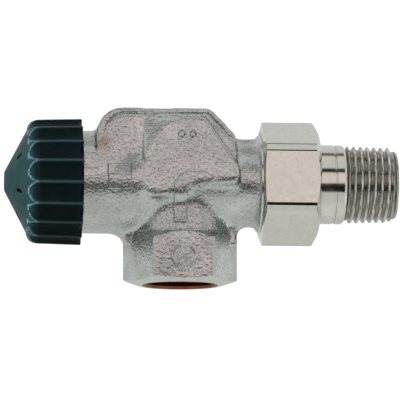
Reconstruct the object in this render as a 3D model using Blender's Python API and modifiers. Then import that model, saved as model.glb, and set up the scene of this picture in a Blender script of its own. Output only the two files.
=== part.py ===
"""Axial-form thermostatic radiator valve body, DN15, with its protective cap and union.

Metres, +Z up. The origin is the centre of the inlet mouth. The inlet axis is Z, and the
valve axis (cap, insert, seat, union nut and tailpiece) runs along X at AXIS_Z over the
inlet face, with the cap towards -X and the radiator connection towards +X.
"""
import math

import bmesh
import bpy
from mathutils import Matrix

MM = 0.001

# Driving dimensions -----------------------------------------------------------------

GAP = 0.3 * MM                     # clearance kept between neighbouring pieces
STROKE = 2.5 * MM                  # travel of the valve disc, open to closed

# Casting: stations along X, radii about the valve axis
BARREL_END_X = 4.0 * MM            # where the barrel starts to narrow
OUTLET_NECK_R = 11.6 * MM
OUTLET_NECK_X = 16.6 * MM
OUTLET_COLLAR_X = 20.5 * MM
OUTLET_END_X = 31.0 * MM
UNION_THREAD_R = 13.1 * MM         # G 3/4, outside diameter 26.4 mm less clearance
UNION_PITCH = 1.814 * MM
UNION_THREAD_DEPTH = 0.9 * MM
UNION_THREAD_X = 22.4 * MM

HEAD_END_X = -36.5 * MM            # open end of the actuator connection
HEAD_THREAD_R = 14.85 * MM         # M30 x 1.5
HEAD_PITCH = 1.5 * MM
HEAD_THREAD_DEPTH = 0.8 * MM
HEAD_WALL = 1.85 * MM              # metal between the head's bore and its thread
HEAD_COLLAR_LENGTH = 1.2 * MM
NECK_STEP = 1.05 * MM              # the neck is this much smaller than the head thread
CAP_RIM_X = -26.7 * MM

HOOD_HEIGHT = 18.7 * MM            # top of the hood over the valve axis
HOOD_HALF_WIDTH = 12.3 * MM
HOOD_LEFT_X = -23.2 * MM
HOOD_SINK = 2.6 * MM               # how far its volume reaches under the valve axis
HOOD_LEFT_R = 6.9 * MM
HOOD_TOP_RIGHT_X = 6.9 * MM
HOOD_TOP_RIGHT_R = 2.5 * MM
HOOD_FOOT_X = 14.2 * MM
HOOD_EDGE = 2.2 * MM

PANEL_HALF_WIDTH = 14.6 * MM       # flat cheeks on both sides of the hood
PANEL_LEFT_X = -10.9 * MM
PANEL_TOP = 16.3 * MM
PANEL_TOP_RIGHT_X = 5.6 * MM
PANEL_RIGHT_X = 14.9 * MM
PANEL_RIGHT_TOP = 2.8 * MM
PANEL_BOTTOM = -7.0 * MM
PANEL_EDGE = 1.2 * MM

# Inlet boss: hexagon, its chamfers and the round neck over it
BOSS_FLATS = 27.0 * MM
BOSS_CORNER_R = 15.3 * MM
BOSS_MOUTH_R = 11.4 * MM           # where the end chamfer starts
BOSS_CHAMFER_RISE = 1.3 * MM
BOSS_TOP_SLOPE = 0.8               # rise of the upper chamfer per unit of radius
BOSS_NECK_R = 12.4 * MM
BOSS_WEB_X = (-15.2 * MM, 15.1 * MM)
BOSS_WEB_R = 3.0 * MM
BOSS_WEB_HALF_WIDTH = 4.5 * MM

# Water ways
INLET_THREAD_R = 9.5 * MM          # Rp 1/2, between its core and major diameters
INLET_MOUTH_R = 10.4 * MM
INLET_THREAD_DEPTH = 13.5 * MM
INLET_RUNOUT = 1.5 * MM            # taper behind the thread
CHAMBER_FLOOR = 2.2 * MM           # metal between that taper and the disc chamber
INLET_WAY_R = 6.6 * MM
INLET_WAY_X = 1.2 * MM
INLET_CHAMBER_R = 8.3 * MM
INLET_CHAMBER_X = (-5.6 * MM, 8.0 * MM)
OUTLET_BORE_R = 8.0 * MM
OUTLET_BORE_X = 10.2 * MM
SEAT_BORE_R = 6.5 * MM
SEAT_LIP_R = 7.9 * MM
SEAT_LIP_HEIGHT = 1.0 * MM
DISC_CHAMBER_PLAY = 2.1 * MM       # water way round the inner end of the insert
OVERPASS_HALF_WIDTH = 7.0 * MM
OVERPASS_SILL = 2.3 * MM           # metal between the inlet chamber and the way over it
CASTING_WALL = 2.6 * MM
HEAD_BORE_END_X = -27.5 * MM

# Insert: everything that closes the head of the casting
INSERT_OUTER_X = -36.0 * MM
INSERT_HEX_PLAY = 2.7 * MM         # room for a socket between the flats and the head's bore
INSERT_HEX_LENGTH = 5.0 * MM
INSERT_FLANGE_PLAY = 0.6 * MM      # between the flange and the head's bore
INSERT_SEAL_WIDTH = 2.2 * MM
INSERT_SEAL_DEPTH = 1.5 * MM
INSERT_THREAD_END_X = -21.0 * MM
INSERT_TUBE_STEP = 1.0 * MM
INSERT_END_X = -14.8 * MM
GLAND_POCKET_R = 4.3 * MM
GLAND_POCKET_DEPTH = 4.0 * MM
PARTITION_END_X = -26.2 * MM
SPRING_CHAMBER_WALL = 1.9 * MM
BUSH_LENGTH = 2.8 * MM

PIN_R = 1.5 * MM
PIN_TIP_X = -41.0 * MM
PIN_HEAD_R = 2.3 * MM
PIN_HEAD_LENGTH = 0.9 * MM
SPINDLE_R = 2.5 * MM
SPINDLE_END_R = 2.0 * MM
SPINDLE_GROOVE_R = 1.8 * MM
GLAND_FLATS = 8.0 * MM
GLAND_HEX_LENGTH = 1.9 * MM
GLAND_WASHER_THICKNESS = 0.6 * MM
GLAND_SEAL_DEPTH = 1.7 * MM
SPINDLE_SEAL_WIDTH = 1.7 * MM

CLIP_THICKNESS = 0.6 * MM
CLIP_WIDTH = 1.9 * MM
CLIP_OPENING = 3.0 * MM
RETAINER_THICKNESS = 0.8 * MM
RETAINER_PLAY = 0.7 * MM
SPRING_WIRE_R = 0.4 * MM
SPRING_TURNS = 3.5

DISC_OVERLAP = 1.5 * MM            # how far the disc covers the seat's bore all round
DISC_HOLDER_BASE = 1.0 * MM
DISC_HOLDER_RIM = 2.4 * MM
DISC_HOLDER_WALL = 0.5 * MM
SEAL_DISC_THICKNESS = 2.2 * MM
DISC_WASHER_R = 5.0 * MM
DISC_WASHER_THICKNESS = 0.7 * MM
DISC_NUT_FLATS = 7.0 * MM
DISC_NUT_THICKNESS = 2.0 * MM
SPINDLE_OVERHANG = 0.4 * MM

# Protective cap
CAP_LENGTH = 20.5 * MM             # rim to nose
CAP_WALL = 2.05 * MM
CAP_DRAFT = 0.3 * MM               # loss of radius from the rim to the shoulder
CAP_SHOULDER_ROUND = 2.6 * MM
CAP_CONE_LENGTH = 6.2 * MM
CAP_NOSE_R = 2.8 * MM
CAP_CONE_WALL = 2.1 * MM           # measured along the axis
CAP_FLUTES = 18
CAP_FLUTE_R = 4.6 * MM
CAP_FLUTE_DEPTH = 1.0 * MM
CAP_FLUTE_PHASE = math.radians(3.0)
CAP_SLOTS = 6
CAP_SLOT_SIZE = (2.2 * MM, 0.9 * MM)
CAP_SLOT_PHASE = math.radians(15.0)
PAD_R = 4.6 * MM
PAD_THICKNESS = 1.9 * MM
PAD_STEM_R = 1.9 * MM
PAD_STEM_LENGTH = 1.6 * MM

# Union nut and tailpiece
NUT_WALL = 1.6 * MM                # at the middle of a flat
NUT_CORNER_ROUND = 0.42 * MM       # taken off the corners of the hexagon
NUT_X = (21.4 * MM, 36.9 * MM)
NUT_SHOULDER = 3.0 * MM
NUT_BACK_CHAMFER = 0.9 * MM
NUT_FRONT_ROUND = 1.9 * MM
TAIL_COLLAR_LENGTH = 2.3 * MM
TAIL_SHANK_R = 10.65 * MM
TAIL_NOSE_LENGTH = 1.6 * MM
TAIL_THREAD_X = 44.1 * MM
TAIL_END_X = 58.2 * MM
TAIL_THREAD_R = 10.48 * MM         # R 1/2, major radius at the root of the thread
TAIL_THREAD_DEPTH = 1.1 * MM
TAIL_PITCH = 1.814 * MM
TAIL_TAPER = 1.0 / 32.0            # loss of radius per unit of length
TAIL_BORE_R = 7.9 * MM
TAIL_GROOVE_X = 41.2 * MM
TAIL_LUG_HEIGHT = 1.0 * MM
TAIL_LUG_LENGTH = 6.0 * MM
TAIL_LUG_WIDTH = 2.4 * MM

SEGMENTS = 36                      # sides of the large round pieces
SMALL_SEGMENTS = 20
MERGE = 0.00001
OVERSHOOT = 2.0 * MM               # how far a cutter runs past the face it opens

# Sizes that follow from the ones above
NECK_R = HEAD_THREAD_R - NECK_STEP
HEAD_BORE_R = HEAD_THREAD_R - HEAD_THREAD_DEPTH - HEAD_WALL
INSERT_FLATS = 2.0 * (HEAD_BORE_R - INSERT_HEX_PLAY)
INSERT_FLANGE_R = HEAD_BORE_R - INSERT_FLANGE_PLAY
INSERT_SEAL_R = INSERT_FLANGE_R - GAP / 3.0
INSERT_THREAD_R = INSERT_SEAL_R - INSERT_SEAL_WIDTH
INSERT_TUBE_R = INSERT_THREAD_R - INSERT_TUBE_STEP
SPRING_CHAMBER_R = INSERT_TUBE_R - SPRING_CHAMBER_WALL
DISC_CHAMBER_R = INSERT_TUBE_R + DISC_CHAMBER_PLAY
OVERPASS_FLOOR = INLET_CHAMBER_R + OVERPASS_SILL
BOSS_TOP_Z = INLET_THREAD_DEPTH + INLET_RUNOUT
AXIS_Z = BOSS_TOP_Z + CHAMBER_FLOOR + DISC_CHAMBER_R
SPRING_MEAN_R = (SPINDLE_R + SPRING_CHAMBER_R) / 2.0
RETAINER_R = SPRING_CHAMBER_R - RETAINER_PLAY
CLIP_R = SPINDLE_GROOVE_R + GAP + CLIP_WIDTH
DISC_HOLDER_R = SEAT_BORE_R + DISC_OVERLAP
CAP_BORE_R = HEAD_THREAD_R + GAP
CAP_RIM_R = CAP_BORE_R + CAP_WALL
CAP_SHOULDER_R = CAP_RIM_R - CAP_DRAFT
CAP_CONE_R = CAP_SHOULDER_R - CAP_SHOULDER_ROUND
CAP_NOSE_X = CAP_RIM_X - CAP_LENGTH
CAP_CONE_X = CAP_NOSE_X + CAP_CONE_LENGTH
CAP_SHOULDER_X = CAP_CONE_X + CAP_SHOULDER_ROUND
CAP_SLOT_R = CAP_CONE_R * 0.66
NUT_FLATS = 2.0 * (UNION_THREAD_R + GAP + NUT_WALL)
NUT_CORNER_R = NUT_FLATS / math.sqrt(3.0) - NUT_CORNER_ROUND
NUT_FACE_R = UNION_THREAD_R + GAP / 3.0
TAIL_COLLAR_R = UNION_THREAD_R - GAP
DISC_HOLDER_X = INSERT_END_X + GAP
SEAL_DISC_X = DISC_HOLDER_X + DISC_HOLDER_BASE + GAP
SEAL_FACE_X = SEAL_DISC_X + SEAL_DISC_THICKNESS
SEAT_LIP_X = SEAL_FACE_X + STROKE + GAP
PARTITION_X = INSERT_OUTER_X + GLAND_POCKET_DEPTH
PIN_HEAD_X = PARTITION_X
SPINDLE_TOP_X = PIN_HEAD_X + PIN_HEAD_LENGTH + GAP
CLIP_X = PARTITION_END_X + GAP
RETAINER_X = CLIP_X + CLIP_THICKNESS + GAP
BUSH_X = INSERT_END_X - BUSH_LENGTH
HEAD_COLLAR_X = CAP_RIM_X - HEAD_COLLAR_LENGTH
HEAD_THREAD_TURNS = int((HEAD_COLLAR_X - GAP - HEAD_END_X) / HEAD_PITCH)
UNION_THREAD_TURNS = int((OUTLET_END_X - UNION_THREAD_X) / UNION_PITCH)
TAIL_THREAD_TURNS = int((TAIL_END_X - TAIL_THREAD_X) / TAIL_PITCH)
OUTLET_CONE_X = OUTLET_END_X - TAIL_NOSE_LENGTH - 3.0 * GAP


# Building blocks ----------------------------------------------------------------------

def clear_scene():
    for item in list(bpy.data.objects):
        bpy.data.objects.remove(item, do_unlink=True)


def new_collection(name):
    collection = bpy.data.collections.new(name)
    bpy.context.scene.collection.children.link(collection)
    return collection


def make_material(name, color, roughness, metallic):
    material = bpy.data.materials.new(name)
    material.use_nodes = True
    shader = material.node_tree.nodes["Principled BSDF"]
    shader.inputs["Base Color"].default_value = (*color, 1.0)
    shader.inputs["Roughness"].default_value = roughness
    shader.inputs["Metallic"].default_value = metallic
    material.diffuse_color = (*color, 1.0)
    return material


def add_object(name, mesh, collection):
    item = bpy.data.objects.new(name, mesh)
    collection.objects.link(item)
    return item


def on_valve_axis(item):
    """Turn an object so that its own Z runs along the valve axis."""
    item.rotation_euler = (0.0, math.radians(90.0), 0.0)
    item.location = (0.0, 0.0, AXIS_Z)


def rounded(corners, steps=5):
    """Return an outline whose corners (x, y, radius) are replaced by arcs."""
    points = []
    count = len(corners)
    for index, (x, y, radius) in enumerate(corners):
        if radius == 0.0:
            points.append((x, y))
            continue
        before = corners[index - 1]
        after = corners[(index + 1) % count]
        start = math.atan2(before[1] - y, before[0] - x)
        end = math.atan2(after[1] - y, after[0] - x)
        half = (end - start + math.pi) % (2.0 * math.pi) - math.pi
        half /= 2.0
        middle = start + half
        reach = radius / math.sin(abs(half))
        centre = (x + reach * math.cos(middle), y + reach * math.sin(middle))
        sweep = math.pi - 2.0 * abs(half)
        side = math.copysign(1.0, half)
        first = middle + math.pi + side * sweep / 2.0
        for step in range(steps + 1):
            angle = first - side * sweep * step / steps
            points.append((centre[0] + radius * math.cos(angle), centre[1] + radius * math.sin(angle)))
    return points


def signed_area(points):
    total = 0.0
    for (x0, y0), (x1, y1) in zip(points, points[1:] + points[:1]):
        total += x0 * y1 - x1 * y0
    return total / 2.0


def turned(name, profile, collection, segments=SEGMENTS):
    """Turn a closed section of (station, radius) points about the object's own Z axis.

    A section that starts and ends on the axis gives a solid piece.
    """
    section = [(radius, station) for station, radius in profile]
    if signed_area(section) > 0.0:
        section.reverse()
    on_axis = sum(1 for radius, _ in section if radius == 0.0) > 1
    if on_axis:
        while not (section[0][0] == 0.0 and section[-1][0] == 0.0):
            section.append(section.pop(0))
    count = len(section)
    edges = [(i, i + 1) for i in range(count - 1)]
    if not on_axis:
        edges.append((count - 1, 0))
    mesh = bpy.data.meshes.new(name)
    mesh.from_pydata([(radius, 0.0, station) for radius, station in section], edges, [])
    item = add_object(name, mesh, collection)
    screw = item.modifiers.new("turn", "SCREW")
    screw.axis = "Z"
    screw.angle = 2.0 * math.pi
    screw.steps = segments
    screw.render_steps = segments
    screw.use_merge_vertices = True
    screw.merge_threshold = MERGE
    return item


def hexagon(name, flats, low, high, collection):
    """A hexagonal bar along Z with two of its corners on X."""
    radius = flats / math.sqrt(3.0)
    middle = Matrix.Translation((0.0, 0.0, (low + high) / 2.0))
    turn = Matrix.Rotation(math.radians(90.0), 4, "Z")
    mesh = bpy.data.meshes.new(name)
    shape = bmesh.new()
    bmesh.ops.create_cone(shape, cap_ends=True, segments=6, radius1=radius, radius2=radius,
                          depth=high - low, matrix=middle @ turn)
    shape.to_mesh(mesh)
    shape.free()
    return add_object(name, mesh, collection)


def block(name, size, centre, collection, turn=None):
    mesh = bpy.data.meshes.new(name)
    shape = bmesh.new()
    matrix = Matrix.Translation(centre) @ Matrix.Diagonal((*size, 1.0))
    if turn is not None:
        matrix = turn @ matrix
    bmesh.ops.create_cube(shape, size=1.0, matrix=matrix)
    shape.to_mesh(mesh)
    shape.free()
    return add_object(name, mesh, collection)


def curve_to_mesh(curve_object, collection):
    """Replace a curve object by a mesh object with welded caps."""
    depsgraph = bpy.context.evaluated_depsgraph_get()
    mesh = bpy.data.meshes.new_from_object(curve_object.evaluated_get(depsgraph))
    shape = bmesh.new()
    shape.from_mesh(mesh)
    bmesh.ops.remove_doubles(shape, verts=shape.verts, dist=MERGE)
    shape.to_mesh(mesh)
    shape.free()
    name = curve_object.name
    matrix = curve_object.matrix_world.copy()
    bpy.data.objects.remove(curve_object, do_unlink=True)
    item = add_object(name, mesh, collection)
    item.matrix_world = matrix
    return item


def plate(name, outline, half_width, collection):
    """Extrude an outline of (x, height over the valve axis) points to both sides in Y."""
    curve = bpy.data.curves.new(name, "CURVE")
    curve.dimensions = "2D"
    curve.fill_mode = "BOTH"
    curve.extrude = half_width
    spline = curve.splines.new("POLY")
    spline.points.add(len(outline) - 1)
    for point, (x, height) in zip(spline.points, outline):
        point.co = (x, height, 0.0, 1.0)
    spline.use_cyclic_u = True
    item = add_object(name, curve, collection)
    item.rotation_euler = (math.radians(90.0), 0.0, 0.0)
    item.location = (0.0, 0.0, AXIS_Z)
    bpy.context.view_layer.update()
    return curve_to_mesh(item, collection)


def soften(item, width, segments):
    bevel = item.modifiers.new("edges", "BEVEL")
    bevel.width = width
    bevel.segments = segments
    bevel.limit_method = "ANGLE"
    bevel.angle_limit = math.radians(50.0)


def combine(item, other, operation):
    """Join, cut or intersect an object with a helper object, which is then hidden."""
    boolean = item.modifiers.new(other.name, "BOOLEAN")
    boolean.operation = operation
    boolean.solver = "EXACT"
    boolean.object = other
    other.hide_render = True
    other.display_type = "WIRE"


def smooth(item):
    mesh = item.data
    mesh.shade_smooth()
    mesh.set_sharp_from_angle(angle=math.radians(35.0))


def o_ring(name, station, mean_r, section_r, collection):
    bpy.ops.mesh.primitive_torus_add(
        major_segments=SMALL_SEGMENTS, minor_segments=6,
        major_radius=mean_r, minor_radius=section_r)
    item = bpy.context.active_object
    item.name = name
    item.data.name = name
    item.data.transform(Matrix.Translation((0.0, 0.0, station)))
    for old in list(item.users_collection):
        old.objects.unlink(item)
    collection.objects.link(item)
    on_valve_axis(item)
    return item


def thread_rings(start, pitch, turns, crest_r, depth):
    """Section points of a male thread drawn as rings, from start onwards."""
    points = []
    for turn in range(turns):
        low = start + turn * pitch
        points.append((low, crest_r - depth))
        points.append((low + pitch / 2.0, crest_r))
    points.append((start + turns * pitch, crest_r - depth))
    return points


# Pieces -------------------------------------------------------------------------------

def casting_barrel(parts):
    """The turned outside of the casting: head thread, neck, barrel, outlet neck, union thread."""
    head_root_r = HEAD_THREAD_R - HEAD_THREAD_DEPTH
    union_root_r = UNION_THREAD_R - UNION_THREAD_DEPTH
    profile = [(HEAD_END_X, 0.0)]
    profile += thread_rings(HEAD_END_X, HEAD_PITCH, HEAD_THREAD_TURNS, HEAD_THREAD_R, HEAD_THREAD_DEPTH)
    profile += [
        (HEAD_COLLAR_X - GAP, head_root_r),
        (HEAD_COLLAR_X, HEAD_THREAD_R),
        (CAP_RIM_X - GAP, HEAD_THREAD_R),
        (CAP_RIM_X, NECK_R),
        (BARREL_END_X, NECK_R),
        (OUTLET_NECK_X, OUTLET_NECK_R),
        (OUTLET_COLLAR_X - UNION_THREAD_DEPTH, OUTLET_NECK_R),
        (OUTLET_COLLAR_X, UNION_THREAD_R),
        (UNION_THREAD_X - UNION_THREAD_DEPTH, UNION_THREAD_R),
    ]
    profile += thread_rings(UNION_THREAD_X, UNION_PITCH, UNION_THREAD_TURNS, UNION_THREAD_R,
                            UNION_THREAD_DEPTH)
    profile += [
        (OUTLET_END_X, union_root_r),
        (OUTLET_END_X, 0.0),
    ]
    barrel = turned("valve_body", profile, parts)
    on_valve_axis(barrel)
    return barrel


def hood_outline():
    return rounded([
        (HOOD_LEFT_X, -HOOD_SINK, 0.0),
        (HOOD_LEFT_X, HOOD_HEIGHT, HOOD_LEFT_R),
        (HOOD_TOP_RIGHT_X, HOOD_HEIGHT, HOOD_TOP_RIGHT_R),
        (HOOD_FOOT_X, OUTLET_NECK_R, 0.0),
        (HOOD_FOOT_X, -HOOD_SINK, 0.0),
    ])


def panel_outline():
    return rounded([
        (PANEL_LEFT_X, PANEL_BOTTOM, 3.0 * MM),
        (PANEL_LEFT_X, PANEL_TOP, 1.5 * MM),
        (PANEL_TOP_RIGHT_X, PANEL_TOP, 2.5 * MM),
        (PANEL_RIGHT_X, PANEL_RIGHT_TOP, 4.0 * MM),
        (PANEL_RIGHT_X, PANEL_BOTTOM, 4.0 * MM),
    ], steps=4)


def boss_web_outline():
    """The strip between the barrel and the boss that gives both sides their fillets."""
    left, right = BOSS_WEB_X
    barrel_bottom = -NECK_R
    neck_bottom = -OUTLET_NECK_R
    foot = barrel_bottom - BOSS_WEB_R - GAP
    return rounded([
        (left - BOSS_WEB_R, barrel_bottom + BOSS_WEB_R, 0.0),
        (left - BOSS_WEB_R, barrel_bottom, 0.0),
        (left, barrel_bottom, BOSS_WEB_R),
        (left, foot, 0.0),
        (right, foot, 0.0),
        (right, neck_bottom, BOSS_WEB_R),
        (right + BOSS_WEB_R, neck_bottom, 0.0),
        (right + BOSS_WEB_R, neck_bottom + BOSS_WEB_R, 0.0),
    ])


def overpass_outline():
    """The water way over the inlet chamber, from the disc chamber to the outlet bore."""
    chamber_left = INSERT_THREAD_END_X + CASTING_WALL
    partition_left = SEAT_LIP_X + SEAT_LIP_HEIGHT
    top = HOOD_HEIGHT - CASTING_WALL
    slope = (HOOD_FOOT_X - HOOD_TOP_RIGHT_X) / (HOOD_HEIGHT - OUTLET_NECK_R)
    entry = OVERPASS_FLOOR - 3.0 * MM
    landing = OUTLET_BORE_R - 1.5 * MM
    landing_x = HOOD_TOP_RIGHT_X - CASTING_WALL / 2.0 + slope * (top - landing)
    return rounded([
        (chamber_left, entry, 0.0),
        (chamber_left, top, 3.0 * MM),
        (HOOD_TOP_RIGHT_X - CASTING_WALL / 2.0, top, 1.5 * MM),
        (landing_x, landing, 0.0),
        (OUTLET_BORE_X, landing, 0.0),
        (OUTLET_BORE_X, OVERPASS_FLOOR, 1.0 * MM),
        (partition_left, OVERPASS_FLOOR, 1.0 * MM),
        (partition_left, entry, 0.0),
    ], steps=3)


def make_valve_body(parts, cutters):
    """The cast body with its threads, chambers, seat and water ways."""
    body = casting_barrel(parts)

    hood = plate("hood_outside", hood_outline(), HOOD_HALF_WIDTH, cutters)
    soften(hood, HOOD_EDGE, 3)
    combine(body, hood, "UNION")

    panel = plate("panel_outside", panel_outline(), PANEL_HALF_WIDTH, cutters)
    soften(panel, PANEL_EDGE, 2)
    combine(body, panel, "UNION")

    web = plate("boss_web", boss_web_outline(), BOSS_WEB_HALF_WIDTH, cutters)
    combine(body, web, "UNION")

    neck = turned("boss_neck", [
        (BOSS_TOP_Z / 2.0, 0.0),
        (BOSS_TOP_Z / 2.0, BOSS_NECK_R),
        (AXIS_Z, BOSS_NECK_R),
        (AXIS_Z, 0.0),
    ], cutters)
    combine(body, neck, "UNION")

    top_corner_z = BOSS_TOP_Z - (BOSS_CORNER_R - BOSS_FLATS / 2.0) * BOSS_TOP_SLOPE
    blank = turned("boss_blank", [
        (0.0, 0.0),
        (0.0, BOSS_MOUTH_R),
        (BOSS_CHAMFER_RISE, BOSS_CORNER_R),
        (top_corner_z, BOSS_CORNER_R),
        (BOSS_TOP_Z + GAP, BOSS_FLATS / 2.0 - GAP / BOSS_TOP_SLOPE),
        (BOSS_TOP_Z + GAP, 0.0),
    ], cutters)
    boss = hexagon("boss_hexagon", BOSS_FLATS, -OVERSHOOT, BOSS_TOP_Z + OVERSHOOT, cutters)
    combine(boss, blank, "INTERSECT")
    combine(body, boss, "UNION")

    head = turned("head_bore", [
        (HEAD_END_X - OVERSHOOT, 0.0),
        (HEAD_END_X - OVERSHOOT, HEAD_BORE_R),
        (HEAD_BORE_END_X, HEAD_BORE_R),
        (HEAD_BORE_END_X, INSERT_SEAL_R),
        (HEAD_BORE_END_X + INSERT_SEAL_DEPTH, INSERT_SEAL_R),
        (HEAD_BORE_END_X + INSERT_SEAL_DEPTH, INSERT_THREAD_R + GAP),
        (INSERT_THREAD_END_X + GAP, INSERT_THREAD_R + GAP),
        (INSERT_THREAD_END_X + 2.0 * GAP, DISC_CHAMBER_R),
        (SEAT_LIP_X + SEAT_LIP_HEIGHT, DISC_CHAMBER_R),
        (SEAT_LIP_X + SEAT_LIP_HEIGHT, SEAT_LIP_R + GAP),
        (SEAT_LIP_X, SEAT_LIP_R),
        (SEAT_LIP_X, SEAT_BORE_R),
        (INLET_CHAMBER_X[0], SEAT_BORE_R),
        (INLET_CHAMBER_X[0], INLET_CHAMBER_R),
        (INLET_CHAMBER_X[1] - 1.5 * MM, INLET_CHAMBER_R),
        (INLET_CHAMBER_X[1], INLET_CHAMBER_R - 2.5 * MM),
        (INLET_CHAMBER_X[1], 0.0),
    ], cutters, SEGMENTS)
    on_valve_axis(head)
    combine(body, head, "DIFFERENCE")

    overpass = plate("overpass", overpass_outline(), OVERPASS_HALF_WIDTH, cutters)
    combine(body, overpass, "DIFFERENCE")

    outlet = turned("outlet_bore", [
        (OUTLET_BORE_X, 0.0),
        (OUTLET_BORE_X, OUTLET_BORE_R - 1.2 * MM),
        (OUTLET_BORE_X + 1.2 * MM, OUTLET_BORE_R),
        (OUTLET_CONE_X, OUTLET_BORE_R),
        (OUTLET_END_X + OVERSHOOT, OUTLET_BORE_R + OUTLET_END_X + OVERSHOOT - OUTLET_CONE_X),
        (OUTLET_END_X + OVERSHOOT, 0.0),
    ], cutters)
    on_valve_axis(outlet)
    combine(body, outlet, "DIFFERENCE")

    inlet = turned("inlet_thread", [
        (-OVERSHOOT, 0.0),
        (-OVERSHOOT, INLET_MOUTH_R + OVERSHOOT),
        (INLET_MOUTH_R - INLET_THREAD_R, INLET_THREAD_R),
        (INLET_THREAD_DEPTH, INLET_THREAD_R),
        (BOSS_TOP_Z, INLET_WAY_R - 1.0 * MM),
        (BOSS_TOP_Z, 0.0),
    ], cutters)
    combine(body, inlet, "DIFFERENCE")

    way = turned("inlet_way", [
        (INLET_THREAD_DEPTH - 1.0 * MM, 0.0),
        (INLET_THREAD_DEPTH - 1.0 * MM, INLET_WAY_R),
        (AXIS_Z, INLET_WAY_R),
        (AXIS_Z, 0.0),
    ], cutters, 32)
    way.location.x = INLET_WAY_X
    combine(body, way, "DIFFERENCE")
    smooth(body)
    return body


def make_insert_housing(parts, cutters):
    """Brass housing of the insert: spanner hexagon, flange, thread and spring chamber."""
    hex_end = INSERT_OUTER_X + INSERT_HEX_LENGTH
    flange_face = HEAD_BORE_END_X - GAP
    corner_r = INSERT_FLATS / math.sqrt(3.0)
    bore_r = SPINDLE_R + GAP
    seal_end = PARTITION_END_X - 0.8 * MM
    seal_start = seal_end - SPINDLE_SEAL_WIDTH
    housing = turned("insert_housing", [
        (INSERT_OUTER_X, GLAND_POCKET_R),
        (INSERT_OUTER_X, corner_r - 1.0 * MM),
        (INSERT_OUTER_X + 0.6 * MM, corner_r),
        (hex_end, corner_r),
        (hex_end + 0.8 * MM, INSERT_FLANGE_R),
        (flange_face, INSERT_FLANGE_R),
        (flange_face, INSERT_THREAD_R),
        (INSERT_THREAD_END_X - 0.6 * MM, INSERT_THREAD_R),
        (INSERT_THREAD_END_X, INSERT_THREAD_R - 0.6 * MM),
        (INSERT_THREAD_END_X, INSERT_TUBE_R),
        (INSERT_END_X, INSERT_TUBE_R),
        (INSERT_END_X, SPRING_CHAMBER_R),
        (PARTITION_END_X, SPRING_CHAMBER_R),
        (PARTITION_END_X, bore_r),
        (seal_end, bore_r),
        (seal_end, SPINDLE_R + SPINDLE_SEAL_WIDTH),
        (seal_start, SPINDLE_R + SPINDLE_SEAL_WIDTH),
        (seal_start, bore_r),
        (PARTITION_X, bore_r),
        (PARTITION_X, GLAND_POCKET_R),
    ], parts, 24)
    on_valve_axis(housing)
    flats = hexagon("insert_hexagon", INSERT_FLATS, INSERT_OUTER_X - OVERSHOOT, hex_end, cutters)
    on_valve_axis(flats)
    rest = turned("insert_rest", [
        (hex_end - GAP, 0.0),
        (hex_end - GAP, INSERT_FLATS / 2.0),
        (hex_end + 0.8 * MM, INSERT_FLANGE_R + GAP),
        (INSERT_END_X + OVERSHOOT, INSERT_FLANGE_R + GAP),
        (INSERT_END_X + OVERSHOOT, 0.0),
    ], cutters, 24)
    on_valve_axis(rest)
    combine(flats, rest, "UNION")
    combine(housing, flats, "INTERSECT")
    smooth(housing)
    return housing


def make_gland_screw(parts, cutters):
    """Screw that holds the outer seal: its hexagon stands out of the insert."""
    hex_start = INSERT_OUTER_X - GAP - GLAND_HEX_LENGTH
    corner_r = GLAND_FLATS / math.sqrt(3.0)
    inner_end = PARTITION_X - GLAND_WASHER_THICKNESS - 2.0 * GAP
    bore_r = PIN_R + GAP
    seal_r = GLAND_POCKET_R - 1.2 * MM
    screw = turned("gland_screw", [
        (hex_start, bore_r),
        (hex_start, corner_r - 0.5 * MM),
        (hex_start + 0.3 * MM, corner_r),
        (INSERT_OUTER_X - GAP, corner_r),
        (INSERT_OUTER_X - GAP, GLAND_POCKET_R - GAP),
        (inner_end, GLAND_POCKET_R - GAP),
        (inner_end, seal_r),
        (inner_end - GLAND_SEAL_DEPTH, seal_r),
        (inner_end - GLAND_SEAL_DEPTH, bore_r),
    ], parts, SMALL_SEGMENTS)
    on_valve_axis(screw)
    flats = hexagon("gland_hexagon", GLAND_FLATS, hex_start - OVERSHOOT, PARTITION_X, cutters)
    on_valve_axis(flats)
    combine(screw, flats, "INTERSECT")
    smooth(screw)
    return screw


def plain_ring(name, low, high, inner_r, outer_r, parts, segments=SMALL_SEGMENTS):
    ring = turned(name, [
        (low, inner_r),
        (low, outer_r),
        (high, outer_r),
        (high, inner_r),
    ], parts, segments)
    on_valve_axis(ring)
    smooth(ring)
    return ring


def make_pressure_pin(parts):
    pin = turned("pressure_pin", [
        (PIN_TIP_X, 0.0),
        (PIN_TIP_X, PIN_R - 0.4 * MM),
        (PIN_TIP_X + 0.4 * MM, PIN_R),
        (PIN_HEAD_X, PIN_R),
        (PIN_HEAD_X, PIN_HEAD_R),
        (PIN_HEAD_X + PIN_HEAD_LENGTH, PIN_HEAD_R),
        (PIN_HEAD_X + PIN_HEAD_LENGTH, 0.0),
    ], parts, 20)
    on_valve_axis(pin)
    smooth(pin)
    return pin


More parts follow.
